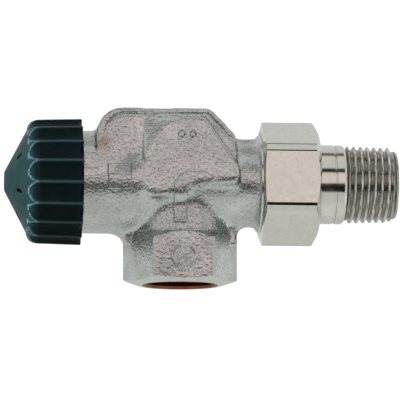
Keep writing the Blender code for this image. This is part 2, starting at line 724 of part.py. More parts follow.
def make_spindle(parts):
    """Spindle with the groove for its clip and a thin end for the disc."""
    groove_end = CLIP_X + CLIP_THICKNESS + GAP / 2.0
    shoulder = DISC_HOLDER_X - GAP
    end = disc_nut_end() + SPINDLE_OVERHANG
    spindle = turned("spindle", [
        (SPINDLE_TOP_X, 0.0),
        (SPINDLE_TOP_X, SPINDLE_R - 0.4 * MM),
        (SPINDLE_TOP_X + 0.4 * MM, SPINDLE_R),
        (CLIP_X - GAP / 2.0, SPINDLE_R),
        (CLIP_X - GAP / 2.0, SPINDLE_GROOVE_R),
        (groove_end, SPINDLE_GROOVE_R),
        (groove_end, SPINDLE_R),
        (shoulder, SPINDLE_R),
        (shoulder, SPINDLE_END_R),
        (end - 0.3 * MM, SPINDLE_END_R),
        (end, SPINDLE_END_R - 0.3 * MM),
        (end, 0.0),
    ], parts, SMALL_SEGMENTS)
    on_valve_axis(spindle)
    smooth(spindle)
    return spindle


def make_retaining_clip(parts, cutters):
    """Open spring clip in the spindle's groove."""
    clip = plain_ring("retaining_clip", CLIP_X, CLIP_X + CLIP_THICKNESS, SPINDLE_GROOVE_R + GAP,
                      CLIP_R, parts)
    opening = block("clip_opening", (2.0 * CLIP_R, CLIP_OPENING, 4.0 * CLIP_THICKNESS),
                    (CLIP_R, 0.0, CLIP_X), cutters)
    on_valve_axis(opening)
    combine(clip, opening, "DIFFERENCE")
    return clip


def make_return_spring(parts):
    """Open coil between the retainer and the guide bush."""
    low = RETAINER_X + RETAINER_THICKNESS + GAP + SPRING_WIRE_R
    high = BUSH_X - GAP - SPRING_WIRE_R
    points_per_turn = 14
    count = int(SPRING_TURNS * points_per_turn)
    curve = bpy.data.curves.new("return_spring", "CURVE")
    curve.dimensions = "3D"
    curve.bevel_depth = SPRING_WIRE_R
    curve.bevel_resolution = 2
    curve.use_fill_caps = True
    spline = curve.splines.new("POLY")
    spline.points.add(count)
    for index, point in enumerate(spline.points):
        angle = 2.0 * math.pi * index / points_per_turn
        station = low + (high - low) * index / count
        point.co = (SPRING_MEAN_R * math.cos(angle), SPRING_MEAN_R * math.sin(angle), station, 1.0)
    spring = add_object("return_spring", curve, parts)
    on_valve_axis(spring)
    bpy.context.view_layer.update()
    spring = curve_to_mesh(spring, parts)
    spring.data.shade_smooth()
    return spring


def make_disc_holder(parts):
    """Pressed cup that carries the rubber disc."""
    inner_r = DISC_HOLDER_R - DISC_HOLDER_WALL
    base = DISC_HOLDER_X + DISC_HOLDER_BASE
    holder = turned("disc_holder", [
        (DISC_HOLDER_X, SPINDLE_END_R + GAP),
        (DISC_HOLDER_X, DISC_HOLDER_R - 0.6 * MM),
        (DISC_HOLDER_X + 0.6 * MM, DISC_HOLDER_R),
        (DISC_HOLDER_X + DISC_HOLDER_RIM, DISC_HOLDER_R),
        (DISC_HOLDER_X + DISC_HOLDER_RIM, inner_r),
        (base, inner_r),
        (base, SPINDLE_END_R + GAP),
    ], parts, 32)
    on_valve_axis(holder)
    smooth(holder)
    return holder


def disc_nut_start():
    return SEAL_FACE_X + GAP + DISC_WASHER_THICKNESS + GAP


def disc_nut_end():
    return disc_nut_start() + DISC_NUT_THICKNESS


def make_disc_nut(parts, cutters):
    corner_r = DISC_NUT_FLATS / math.sqrt(3.0)
    start = disc_nut_start()
    end = disc_nut_end()
    nut = turned("disc_nut", [
        (start, SPINDLE_END_R + GAP),
        (start, corner_r),
        (end - 0.3 * MM, corner_r),
        (end, corner_r - 0.6 * MM),
        (end, SPINDLE_END_R + GAP),
    ], parts, SMALL_SEGMENTS)
    on_valve_axis(nut)
    flats = hexagon("disc_nut_hexagon", DISC_NUT_FLATS, start - OVERSHOOT, end + OVERSHOOT, cutters)
    on_valve_axis(flats)
    combine(nut, flats, "INTERSECT")
    smooth(nut)
    return nut


def cap_inner_cone_x(radius):
    """Station of the cap's inner cone at a radius."""
    slope = (CAP_CONE_X - CAP_NOSE_X) / (CAP_CONE_R - CAP_NOSE_R)
    return CAP_NOSE_X + CAP_CONE_WALL + (radius - CAP_NOSE_R) * slope


def make_protective_cap(parts, cutters):
    """Fluted cap with a conical nose, screwed on the head of the casting."""
    pad_back = PIN_TIP_X - GAP - PAD_THICKNESS
    seat_r = PAD_R + GAP
    stem_end = pad_back - PAD_STEM_LENGTH - GAP
    cap = turned("protective_cap", [
        (CAP_NOSE_X, 0.0),
        (CAP_NOSE_X, CAP_NOSE_R),
        (CAP_CONE_X, CAP_CONE_R),
        (CAP_SHOULDER_X - 0.7 * CAP_SHOULDER_ROUND, CAP_SHOULDER_R - 0.45 * CAP_SHOULDER_ROUND),
        (CAP_SHOULDER_X - 0.35 * CAP_SHOULDER_ROUND, CAP_SHOULDER_R - 0.12 * CAP_SHOULDER_ROUND),
        (CAP_SHOULDER_X, CAP_SHOULDER_R),
        (CAP_RIM_X, CAP_RIM_R),
        (CAP_RIM_X, CAP_BORE_R + 0.5 * MM),
        (CAP_RIM_X - 0.5 * MM, CAP_BORE_R),
        (cap_inner_cone_x(CAP_BORE_R), CAP_BORE_R),
        (cap_inner_cone_x(seat_r), seat_r),
        (pad_back - GAP, seat_r - 0.4 * MM),
        (pad_back - GAP, PAD_STEM_R + GAP),
        (stem_end, PAD_STEM_R + GAP),
        (stem_end, 0.0),
    ], parts, 72)
    on_valve_axis(cap)

    centre_r = CAP_RIM_R + CAP_FLUTE_R - CAP_FLUTE_DEPTH
    cutter_mesh = bpy.data.meshes.new("cap_flutes")
    shape = bmesh.new()
    draft = (CAP_RIM_R - CAP_SHOULDER_R) / (CAP_RIM_X - CAP_SHOULDER_X)
    low = CAP_CONE_X - OVERSHOOT
    high = CAP_RIM_X + OVERSHOOT
    lean = Matrix.Rotation(math.atan(draft), 4, "Y")
    for index in range(CAP_FLUTES):
        angle = CAP_FLUTE_PHASE + 2.0 * math.pi * (index + 0.5) / CAP_FLUTES
        matrix = Matrix.Rotation(angle, 4, "Z") @ Matrix.Translation((centre_r, 0.0, CAP_RIM_X)) @ lean
        bmesh.ops.create_cone(
            shape, cap_ends=True, segments=20, radius1=CAP_FLUTE_R, radius2=CAP_FLUTE_R, depth=high - low,
            matrix=matrix @ Matrix.Translation((0.0, 0.0, (low + high) / 2.0 - CAP_RIM_X)))
    shape.to_mesh(cutter_mesh)
    shape.free()
    flutes = add_object("cap_flutes", cutter_mesh, cutters)
    on_valve_axis(flutes)
    combine(cap, flutes, "DIFFERENCE")

    slot_mesh = bpy.data.meshes.new("cap_slots")
    shape = bmesh.new()
    slope_angle = math.atan2(CAP_CONE_R - CAP_NOSE_R, CAP_CONE_X - CAP_NOSE_X)
    slot_x = cap_inner_cone_x(CAP_SLOT_R) - CAP_CONE_WALL / 2.0
    length, width = CAP_SLOT_SIZE
    for index in range(CAP_SLOTS):
        angle = CAP_SLOT_PHASE + 2.0 * math.pi * index / CAP_SLOTS
        matrix = Matrix.Rotation(angle, 4, "Z") @ Matrix.Translation((CAP_SLOT_R, 0.0, slot_x))
        matrix = matrix @ Matrix.Rotation(slope_angle, 4, "Y")
        size = Matrix.Diagonal((3.0 * CAP_CONE_WALL, width, length, 1.0))
        bmesh.ops.create_cube(shape, size=1.0, matrix=matrix @ size)
    shape.to_mesh(slot_mesh)
    shape.free()
    slots = add_object("cap_slots", slot_mesh, cutters)
    on_valve_axis(slots)
    combine(cap, slots, "DIFFERENCE")
    smooth(cap)
    return cap


def make_thrust_pad(parts):
    """Pad in the nose of the cap that meets the pressure pin."""
    face = PIN_TIP_X - GAP
    back = face - PAD_THICKNESS
    pad = turned("thrust_pad", [
        (back - PAD_STEM_LENGTH, 0.0),
        (back - PAD_STEM_LENGTH, PAD_STEM_R),
        (back, PAD_STEM_R),
        (back, PAD_R - 0.6 * MM),
        (back + 0.4 * MM, PAD_R),
        (face - 0.5 * MM, PAD_R),
        (face, PAD_R - 0.5 * MM),
        (face, 0.0),
    ], parts, SMALL_SEGMENTS)
    on_valve_axis(pad)
    smooth(pad)
    return pad


def make_union_nut(parts, cutters):
    left, right = NUT_X
    shoulder = right - NUT_SHOULDER
    chamfer = NUT_CORNER_R - NUT_FACE_R
    profile = [
        (left, UNION_THREAD_R + GAP),
        (left, NUT_FACE_R + GAP),
        (left + NUT_BACK_CHAMFER, NUT_CORNER_R),
    ]
    steps = 4
    for step in range(steps + 1):
        angle = math.radians(90.0) * step / steps
        profile.append((right - NUT_FRONT_ROUND + NUT_FRONT_ROUND * math.sin(angle),
                        NUT_CORNER_R - chamfer * (1.0 - math.cos(angle))))
    profile += [
        (right, TAIL_SHANK_R + GAP),
        (shoulder, TAIL_SHANK_R + GAP),
        (shoulder, UNION_THREAD_R + GAP),
    ]
    nut = turned("union_nut", profile, parts, 48)
    on_valve_axis(nut)
    flats = hexagon("union_nut_hexagon", NUT_FLATS, left - OVERSHOOT, right + OVERSHOOT, cutters)
    on_valve_axis(flats)
    combine(nut, flats, "INTERSECT")
    smooth(nut)
    return nut


def make_tailpiece(parts, cutters):
    """Nose, collar, plain shank and tapered pipe thread, with two lugs for the step key."""
    collar_x = NUT_X[1] - NUT_SHOULDER - GAP - TAIL_COLLAR_LENGTH
    nose_x = collar_x - TAIL_NOSE_LENGTH
    nose_r = OUTLET_BORE_R + nose_x - OUTLET_CONE_X - 2.0 * GAP
    profile = [
        (nose_x, TAIL_BORE_R),
        (nose_x, max(nose_r, TAIL_BORE_R + GAP)),
        (collar_x, max(nose_r, TAIL_BORE_R + GAP) + TAIL_NOSE_LENGTH),
        (collar_x, TAIL_COLLAR_R),
        (collar_x + TAIL_COLLAR_LENGTH, TAIL_COLLAR_R),
        (collar_x + TAIL_COLLAR_LENGTH, TAIL_SHANK_R),
        (TAIL_GROOVE_X - 0.3 * MM, TAIL_SHANK_R),
        (TAIL_GROOVE_X, TAIL_SHANK_R - 0.3 * MM),
        (TAIL_GROOVE_X + 0.3 * MM, TAIL_SHANK_R),
        (TAIL_THREAD_X - 0.6 * MM, TAIL_SHANK_R),
    ]
    for station, radius in thread_rings(TAIL_THREAD_X, TAIL_PITCH, TAIL_THREAD_TURNS, TAIL_THREAD_R,
                                        TAIL_THREAD_DEPTH):
        profile.append((station, radius - (station - TAIL_THREAD_X) * TAIL_TAPER))
    profile += [
        (TAIL_END_X, TAIL_THREAD_R - TAIL_THREAD_DEPTH - (TAIL_END_X - TAIL_THREAD_X) * TAIL_TAPER),
        (TAIL_END_X, TAIL_BORE_R + 0.5 * MM),
        (TAIL_END_X - 0.5 * MM, TAIL_BORE_R),
    ]
    tail = turned("tailpiece", profile, parts)
    on_valve_axis(tail)
    for side in (-1.0, 1.0):
        reach = TAIL_LUG_HEIGHT + (TAIL_THREAD_R - TAIL_THREAD_DEPTH - TAIL_BORE_R) / 3.0
        lug = block(
            "key_lug_a" if side < 0.0 else "key_lug_b",
            (reach, TAIL_LUG_WIDTH, TAIL_LUG_LENGTH),
            (side * (TAIL_BORE_R - TAIL_LUG_HEIGHT + reach / 2.0), 0.0,
             TAIL_END_X - 1.6 * MM - TAIL_LUG_LENGTH / 2.0),
            cutters)
        on_valve_axis(lug)
        combine(tail, lug, "UNION")
    smooth(tail)
    return tail


def seal_between(name, low, high, inner_r, outer_r, parts):
    """An O-ring that stands clear of the groove it lies in."""
    section_r = min((high - low) / 2.0 - GAP / 2.0, (outer_r - inner_r) / 2.0 - GAP / 2.0)
    mean_r = (inner_r + outer_r) / 2.0
    return o_ring(name, (low + high) / 2.0, mean_r, section_r, parts)


def main():
    clear_scene()
    parts = new_collection("thermostatic_radiator_valve")
    cutters = new_collection("cutters")

    cast_nickel = make_material("cast_nickel", (0.55, 0.54, 0.52), 0.42, 0.9)
    polished_nickel = make_material("polished_nickel", (0.68, 0.67, 0.65), 0.18, 1.0)
    threaded_nickel = make_material("threaded_nickel", (0.64, 0.63, 0.61), 0.25, 1.0)
    green_plastic = make_material("green_plastic", (0.012, 0.045, 0.05), 0.4, 0.0)
    pad_plastic = make_material("pad_plastic", (0.6, 0.6, 0.56), 0.45, 0.0)
    housing_brass = make_material("housing_brass", (0.69, 0.52, 0.25), 0.3, 1.0)
    gland_brass = make_material("gland_brass", (0.72, 0.55, 0.28), 0.28, 1.0)
    bush_brass = make_material("bush_brass", (0.66, 0.5, 0.26), 0.35, 1.0)
    holder_brass = make_material("holder_brass", (0.7, 0.53, 0.27), 0.32, 1.0)
    nut_brass = make_material("nut_brass", (0.71, 0.54, 0.26), 0.3, 1.0)
    washer_brass = make_material("washer_brass", (0.7, 0.54, 0.28), 0.3, 1.0)
    stainless = make_material("stainless", (0.62, 0.62, 0.63), 0.22, 1.0)
    spindle_steel = make_material("spindle_steel", (0.6, 0.6, 0.61), 0.25, 1.0)
    clip_steel = make_material("clip_steel", (0.5, 0.5, 0.5), 0.35, 1.0)
    spring_steel = make_material("spring_steel", (0.55, 0.55, 0.56), 0.3, 1.0)
    retainer_steel = make_material("retainer_steel", (0.58, 0.58, 0.58), 0.32, 1.0)
    gland_steel = make_material("gland_steel", (0.6, 0.6, 0.6), 0.3, 1.0)
    disc_rubber = make_material("disc_rubber", (0.02, 0.02, 0.02), 0.75, 0.0)
    insert_rubber = make_material("insert_rubber", (0.022, 0.022, 0.022), 0.6, 0.0)
    gland_rubber = make_material("gland_rubber", (0.025, 0.024, 0.023), 0.6, 0.0)
    spindle_rubber = make_material("spindle_rubber", (0.023, 0.023, 0.024), 0.6, 0.0)

    seal_end = PARTITION_END_X - 0.8 * MM
    gland_inner_end = PARTITION_X - GLAND_WASHER_THICKNESS - 2.0 * GAP
    retainer_end = RETAINER_X + RETAINER_THICKNESS
    seal_inner_r = SPINDLE_END_R + GAP
    washer_start = SEAL_FACE_X + GAP
    finished = [
        (make_valve_body(parts, cutters), cast_nickel),
        (make_protective_cap(parts, cutters), green_plastic),
        (make_thrust_pad(parts), pad_plastic),
        (make_insert_housing(parts, cutters), housing_brass),
        (seal_between("insert_o_ring", HEAD_BORE_END_X - GAP, HEAD_BORE_END_X + INSERT_SEAL_DEPTH,
                      INSERT_THREAD_R, INSERT_SEAL_R, parts), insert_rubber),
        (make_gland_screw(parts, cutters), gland_brass),
        (seal_between("gland_o_ring", gland_inner_end - GLAND_SEAL_DEPTH, gland_inner_end,
                      PIN_R, GLAND_POCKET_R - 1.2 * MM, parts), gland_rubber),
        (plain_ring("gland_washer", PARTITION_X - GLAND_WASHER_THICKNESS - GAP, PARTITION_X - GAP,
                    PIN_R + GAP, GLAND_POCKET_R - GAP, parts), gland_steel),
        (make_pressure_pin(parts), stainless),
        (make_spindle(parts), spindle_steel),
        (seal_between("spindle_o_ring", seal_end - SPINDLE_SEAL_WIDTH, seal_end,
                      SPINDLE_R, SPINDLE_R + SPINDLE_SEAL_WIDTH, parts), spindle_rubber),
        (make_retaining_clip(parts, cutters), clip_steel),
        (plain_ring("spring_retainer", RETAINER_X, retainer_end, SPINDLE_R + GAP, RETAINER_R, parts),
         retainer_steel),
        (make_return_spring(parts), spring_steel),
        (plain_ring("guide_bush", BUSH_X, INSERT_END_X, SPINDLE_R + GAP, SPRING_CHAMBER_R - GAP, parts),
         bush_brass),
        (make_disc_holder(parts), holder_brass),
        (plain_ring("seal_disc", SEAL_DISC_X, SEAL_FACE_X, seal_inner_r,
                    DISC_HOLDER_R - DISC_HOLDER_WALL - GAP, parts, 32), disc_rubber),
        (plain_ring("disc_washer", washer_start, washer_start + DISC_WASHER_THICKNESS, seal_inner_r,
                    DISC_WASHER_R, parts), washer_brass),
        (make_disc_nut(parts, cutters), nut_brass),
        (make_union_nut(parts, cutters), polished_nickel),
        (make_tailpiece(parts, cutters), threaded_nickel),
    ]
    for item, material in finished:
        item.data.materials.append(material)


main()
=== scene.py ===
"""Finished pieces of a thermostatic radiator valve body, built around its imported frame.

Metres, +Z up. The valve axis runs along X at the height AXIS_Z, with the protective cap
towards -X and the radiator connection towards +X. The inlet axis is Z.
"""
import math

import bmesh
import bpy
import numpy as np
from bpy.props import FloatProperty, FloatVectorProperty, IntProperty, PointerProperty
from mathutils import Matrix, Vector


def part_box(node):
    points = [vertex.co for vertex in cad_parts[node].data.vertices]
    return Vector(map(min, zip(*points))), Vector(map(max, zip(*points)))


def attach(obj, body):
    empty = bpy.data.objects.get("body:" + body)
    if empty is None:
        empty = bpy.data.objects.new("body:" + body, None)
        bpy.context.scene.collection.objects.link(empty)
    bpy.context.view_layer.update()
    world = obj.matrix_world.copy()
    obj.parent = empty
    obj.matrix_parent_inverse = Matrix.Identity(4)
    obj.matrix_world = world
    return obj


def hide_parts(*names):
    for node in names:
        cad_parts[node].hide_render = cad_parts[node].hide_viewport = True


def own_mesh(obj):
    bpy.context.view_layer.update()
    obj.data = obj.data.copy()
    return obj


bl_info = {
    "name": "Radiator Valve",
    "version": (1, 0, 0),
    "blender": (4, 5, 0),
    "location": "View3D > Sidebar > Valve",
    "description": "Builds the finished pieces of a radiator valve body around its packed frame",
    "category": "Object",
}

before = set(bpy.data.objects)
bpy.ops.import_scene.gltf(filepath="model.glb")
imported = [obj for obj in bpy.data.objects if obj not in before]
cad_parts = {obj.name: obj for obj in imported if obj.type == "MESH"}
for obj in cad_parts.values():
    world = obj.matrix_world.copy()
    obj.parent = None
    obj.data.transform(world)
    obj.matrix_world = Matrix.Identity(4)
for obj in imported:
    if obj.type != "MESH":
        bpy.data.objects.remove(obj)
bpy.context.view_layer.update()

MM = 0.001


def box_mm(node):
    """The lowest and highest corner of a CAD node, in millimetres."""
    low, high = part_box(node)
    return low / MM, high / MM


def middle(node, axis):
    low, high = box_mm(node)
    return (low[axis] + high[axis]) / 2.0


# Stations along the valve axis and radii about it, in millimetres --------------------

AXIS_Z = middle("spindle", 2)
CAP_LOW, CAP_HIGH = box_mm("protective_cap")
NUT_LOW, NUT_HIGH = box_mm("union_nut")
TAIL_LOW, TAIL_HIGH = box_mm("tailpiece")
HOUSING_LOW, HOUSING_HIGH = box_mm("insert_housing")
SPRING_LOW, SPRING_HIGH = box_mm("return_spring")
BODY_LOW, BODY_HIGH = box_mm("valve_body")

CAP_RIM_X = CAP_HIGH.x
HEAD_END_X = BODY_LOW.x
HEAD_THREAD_R = 14.85
HEAD_PITCH = 1.5
HEAD_THREAD_DEPTH = 0.8
OUTLET_END_X = BODY_HIGH.x
UNION_THREAD_R = 13.1
UNION_PITCH = 1.814
UNION_THREAD_DEPTH = 0.9
TAIL_TAPER = 1.0 / 32.0
NECK_R = 13.8
OUTLET_NECK_R = 11.6
OUTLET_COLLAR_X = 20.5
HOOD_HEIGHT = BODY_HIGH.z - AXIS_Z
GAP = 0.3


# Sizes and colours that can be changed ------------------------------------------------

def length(name, description, default):
    """A size in metres, from a default in millimetres."""
    return FloatProperty(name=name, description=description, default=default * MM, unit="LENGTH", precision=5)


def colour(name, description, default):
    return FloatVectorProperty(name=name, description=description, default=default, subtype="COLOR",
                               size=3, min=0.0, max=1.0)


def linear(code):
    """Turn an sRGB hex code into a linear colour."""
    channels = [int(code[i:i + 2], 16) / 255.0 for i in (1, 3, 5)]
    return tuple(c / 12.92 if c <= 0.04045 else ((c + 0.055) / 1.055) ** 2.4 for c in channels)


class CastingSizes(bpy.types.PropertyGroup):
    grain: length("Casting grain", "Size of the facets that the mould leaves on the casting", 0.38)
    hood_half_width: length("Hood half width", "Half of the thickness of the hood over the seat", 12.3)
    hood_edge: length("Hood edge", "Radius along the hood's edges", 2.2)
    cheek_half_width: length("Cheek half width", "Distance of the flat cheeks from the middle plane", 14.6)
    cheek_edge: length("Cheek edge", "Radius along the cheeks' edges", 0.9)
    mark_height: length("Mark height", "How far the flow arrow and the pads stand proud", 0.55)
    crease_depth: length("Crease depth", "Depth of the parting crease round the hood", 0.3)


class CapSizes(bpy.types.PropertyGroup):
    flutes: IntProperty(name="Flutes", description="Number of finger flutes round the cap", default=18, min=6)
    flute_depth: length("Flute depth", "Depth of a flute at its middle", 1.0)
    slots: IntProperty(name="Slots", description="Number of slots round the cone", default=6, min=3)
    slot_length: length("Slot length", "Length of a slot, measured outwards from the axis", 2.3)
    slot_width: length("Slot width", "Width of a slot round the cone", 0.95)


class UnionSizes(bpy.types.PropertyGroup):
    nut_corner: length("Nut corner", "Width of the rounding along the nut's corners", 2.1)
    thread_depth: length("Thread depth", "Depth of the tail's pipe thread", 1.1)
    notch_depth: length("Notch depth", "Depth of the notches that hold the hemp on the thread", 0.2)


class Finishes(bpy.types.PropertyGroup):
    nickel: colour("Nickel", "Nickel plate on the casting", linear("#C8CAC9"))
    polished: colour("Polished nickel", "Nickel plate on the turned pieces", linear("#DAD8D2"))
    plastic: colour("Cap plastic", "Moulded plastic of the protective cap", linear("#040A0B"))
    # The crest colour is a painted highlight: the paler plastic along the rims of the flutes.
    crest: colour("Rubbed plastic", "Plastic of the cap where its crests are rubbed", linear("#1C2C2E"))
    # The bore's bare brass is darkened to paint the shade inside the bore and the water ways.
    bore_brass_and_shade: colour("Bare bore", "Bare brass of the tapped inlet", linear("#7E4A33"))
    brass: colour("Brass", "Turned brass of the insert", linear("#C9A660"))
    steel: colour("Steel", "Stainless steel of the pin and spindle", linear("#B9BBBD"))
    rubber: colour("Rubber", "EPDM rubber of the seals", linear("#1B1C1D"))


# Modelling by hand --------------------------------------------------------------------

def leave_edit():
    if bpy.context.object is not None and bpy.context.object.mode != "OBJECT":
        bpy.ops.object.mode_set(mode="OBJECT")


def only(*pieces):
    """Select these pieces and nothing else; the first is the active one."""
    leave_edit()
    bpy.ops.object.select_all(action="DESELECT")
    for piece in pieces:
        piece.select_set(True)
    bpy.context.view_layer.objects.active = pieces[0]


def edit(piece, mode="VERT"):
    only(piece)
    bpy.ops.object.mode_set(mode="EDIT")
    bpy.ops.mesh.select_mode(type=mode)


def edit_all(piece):
    edit(piece)
    bpy.ops.mesh.select_all(action="SELECT")


def pick(piece, test, kind="verts"):
    """Select the vertices, edges or faces of a piece in edit mode that pass a test."""
    shape = bmesh.from_edit_mesh(piece.data)
    for item in (*shape.verts, *shape.edges, *shape.faces):
        item.select = False
    found = [item for item in getattr(shape, kind) if test(item)]
    for item in found:
        item.select = True
    if kind == "verts":
        shape.select_flush_mode()
    bmesh.update_edit_mesh(piece.data)
    return len(found)


def start_point(name, place):
    """A single vertex in edit mode, from which an outline is extruded."""
    leave_edit()
    bpy.ops.object.select_all(action="DESELECT")
    bpy.ops.mesh.primitive_plane_add(size=MM)
    piece = bpy.context.object
    piece.name = name
    piece.data.name = name
    edit_all(piece)
    bpy.ops.mesh.merge(type="CENTER")
    bpy.ops.mesh.select_all(action="SELECT")
    bpy.ops.transform.translate(value=place)
    return piece


def draw_line(points):
    """Extrude the selected vertex from point to point."""
    for before, after in zip(points, points[1:]):
        step = Vector(after) - Vector(before)
        bpy.ops.mesh.extrude_region_move(TRANSFORM_OT_translate={"value": step})


def weld(piece):
    """Merge doubles and turn all faces outwards."""
    bpy.ops.mesh.select_all(action="SELECT")
    bpy.ops.mesh.remove_doubles(threshold=0.004 * MM)
    bpy.ops.mesh.dissolve_degenerate(threshold=0.001 * MM)
    bpy.ops.mesh.select_all(action="SELECT")
    bpy.ops.mesh.normals_make_consistent(inside=False)
    leave_edit()
    return piece


def turned(name, profile, steps, along="X", shift=0.0):
    """Spin a section of (station, radius) points in millimetres about the valve or inlet axis.

    A section off the axis closes on itself.
    """
    if along == "X":
        points = [(x * MM, 0.0, (AXIS_Z + r) * MM) for x, r in profile]
        centre, axis = (0.0, 0.0, AXIS_Z * MM), (1.0, 0.0, 0.0)
    else:
        points = [((shift + r) * MM, 0.0, z * MM) for z, r in profile]
        centre, axis = (shift * MM, 0.0, 0.0), (0.0, 0.0, 1.0)
    if profile[0][1] > 0.0 or profile[-1][1] > 0.0:
        points.append(points[0])
    piece = start_point(name, points[0])
    draw_line(points)
    bpy.ops.mesh.select_all(action="SELECT")
    bpy.ops.mesh.spin(steps=steps, angle=2.0 * math.pi, center=centre, axis=axis)
    return weld(piece)


def plate(name, outline, half_width):
    """Extrude an outline of (x, height over the valve axis) points in millimetres to both sides."""
    points = [(x * MM, -half_width, (AXIS_Z + h) * MM) for x, h in outline]
    piece = start_point(name, points[0])
    draw_line(points)
    bpy.ops.mesh.select_all(action="SELECT")
    bpy.ops.mesh.edge_face_add()
    bpy.ops.mesh.extrude_region_move(TRANSFORM_OT_translate={"value": (0.0, 2.0 * half_width, 0.0)})
    return weld(piece)


def bevel_edges(piece, test, width, segments):
    """Round the edges that pass a test."""
    edit(piece, "EDGE")
    if pick(piece, test, "edges") == 0:
        raise RuntimeError(f"{piece.name} has no edge to round")
    bpy.ops.mesh.bevel(offset=width, segments=segments, affect="EDGES", clamp_overlap=True)
    leave_edit()


def modify(piece, kind, **settings):
    """Add a modifier with these settings and apply it."""
    only(piece)
    modifier = piece.modifiers.new(kind.title(), kind)
    for key, value in settings.items():
        setattr(modifier, key, value)
    bpy.ops.object.modifier_apply(modifier=modifier.name)


def combine(piece, other, operation):
    """Join, cut or intersect a piece with a helper, which is used up."""
    modify(piece, "BOOLEAN", operation=operation, solver="EXACT", object=other)
    bpy.data.objects.remove(other)


def joined(name, *pieces):
    only(*pieces)
    bpy.ops.object.join()
    pieces[0].name = name
    pieces[0].data.name = name
    return pieces[0]


def shade(piece, angle=32.0):
    only(piece)
    bpy.ops.object.shade_smooth_by_angle(angle=math.radians(angle))


def coordinates(piece):
    values = np.empty(len(piece.data.vertices) * 3)
    piece.data.vertices.foreach_get("co", values)
    return values.reshape(-1, 3)


def move_points(piece, values):
    piece.data.vertices.foreach_set("co", values.reshape(-1))
    piece.data.update()


def vertex_normals(piece):
    values = np.empty(len(piece.data.vertices) * 3)
    piece.data.vertices.foreach_get("normal", values)
    return values.reshape(-1, 3)


def about_axis(values):
    """Angle and radius of points about the valve axis; the angle is zero upwards."""
    y, z = values[:, 1], values[:, 2] - AXIS_Z * MM
    return np.arctan2(y, z), np.hypot(y, z)


def rows(start, end, count):
    return [start + (end - start) * i / count for i in range(count + 1)]


def arc(centre, radius, first, last, count):
    """Points of an arc in the (station, radius) plane, angles in degrees."""
    points = []
    for angle in rows(first, last, count):
        turn = math.radians(angle)
        points.append((centre[0] + radius * math.cos(turn), centre[1] + radius * math.sin(turn)))
    return points


def rounded(corners, steps=6):
    """Replace the corners (x, y, radius) of an outline by arcs."""
    points = []
    for index, (x, y, radius) in enumerate(corners):
        if radius == 0.0:
            points.append((x, y))
            continue
        before, after = corners[index - 1], corners[(index + 1) % len(corners)]
        start = math.atan2(before[1] - y, before[0] - x)
        half = ((math.atan2(after[1] - y, after[0] - x) - start + math.pi) % (2.0 * math.pi) - math.pi) / 2.0
        reach = radius / math.sin(abs(half))
        centre = (x + reach * math.cos(start + half), y + reach * math.sin(start + half))
        side = math.copysign(1.0, half)
        sweep = math.pi - 2.0 * abs(half)
        first = start + half + math.pi + side * sweep / 2.0
        for angle in rows(first, first - side * sweep, steps):
            points.append((centre[0] + radius * math.cos(angle), centre[1] + radius * math.sin(angle)))
    return points


def thread_height(phase):
    """Height over the root at each phase of a turn, between 0 and 1.

    The flanks stand at 60 degrees or so to each other, with narrow flats at crest and root.
    """
    phase = phase - np.floor(phase)
    return np.clip((1.0 - np.abs(2.0 * phase - 1.0)) * 1.3 - 0.12, 0.0, 1.0)


def cut_thread(piece, start, end, pitch, crest_r, depth, taper=0.0, notches=0, notch_depth=0.0):
    """Sink the rows of a turned piece between two stations into one helical thread."""
    values = coordinates(piece)
    angle, radius = about_axis(values)
    x = values[:, 0] / MM
    zone = (x > start - 0.01) & (x < end + 0.01) & (radius > (crest_r - depth - 1.0) * MM)
    height = thread_height((x - start) / pitch - angle / (2.0 * math.pi))
    ends = np.clip(np.minimum(x - start, end - x) / pitch * 2.0, 0.0, 1.0)
    local = crest_r - taper * (x - start) - depth * (1.0 - height * ends)
    if notches:
        tooth = np.floor((angle / (2.0 * math.pi) % 1.0) * notches * 2.0) % 2.0
        local -= notch_depth * tooth * (height > 0.7)
    scale = np.where(zone, local * MM / np.maximum(radius, 1e-9), 1.0)
    values[:, 1] *= scale
    values[:, 2] = (values[:, 2] - AXIS_Z * MM) * scale + AXIS_Z * MM
    move_points(piece, values)


# Finishes -----------------------------------------------------------------------------

def node(material, kind, inputs, **settings):
    """Add a node with its settings; an input is a value or another node's socket."""
    tree = material.node_tree
    made = tree.nodes.new(kind)
    for key, value in settings.items():
        setattr(made, key, value)
    for key, value in inputs.items():
        if isinstance(value, bpy.types.NodeSocket):
            tree.links.new(value, made.inputs[key])
        else:
            made.inputs[key].default_value = value
    return made


def finish(name):
    """An empty material with its shader and the row frame's coordinates."""
    material = bpy.data.materials.new(name)
    material.use_nodes = True
    shader = material.node_tree.nodes["Principled BSDF"]
    place = node(material, "ShaderNodeTexCoord", {}).outputs["Object"]
    return material, shader, place


def per_mm(size):
    """Noise scale whose features are about this many millimetres across."""
    return 1.0 / (size * MM)


def connect(material, output, socket):
    material.node_tree.links.new(output, socket)


def ramp(material, factor, stops):
    """A colour ramp from (position, linear colour) stops."""
    made = node(material, "ShaderNodeValToRGB", {"Fac": factor})
    elements = made.color_ramp.elements
    while len(elements) < len(stops):
        elements.new(0.5)
    for element, (position, value) in zip(elements, stops):
        element.position = position
        element.color = (*value, 1.0)
    return made.outputs["Color"]


def tint(value, factor):
    return tuple(min(1.0, channel * factor) for channel in value)


# A brown stain sits where the hood meets the neck beside the cap.
STAIN_PLACE = (-21.7 * MM, -12.3 * MM, (AXIS_Z + 9.4) * MM)


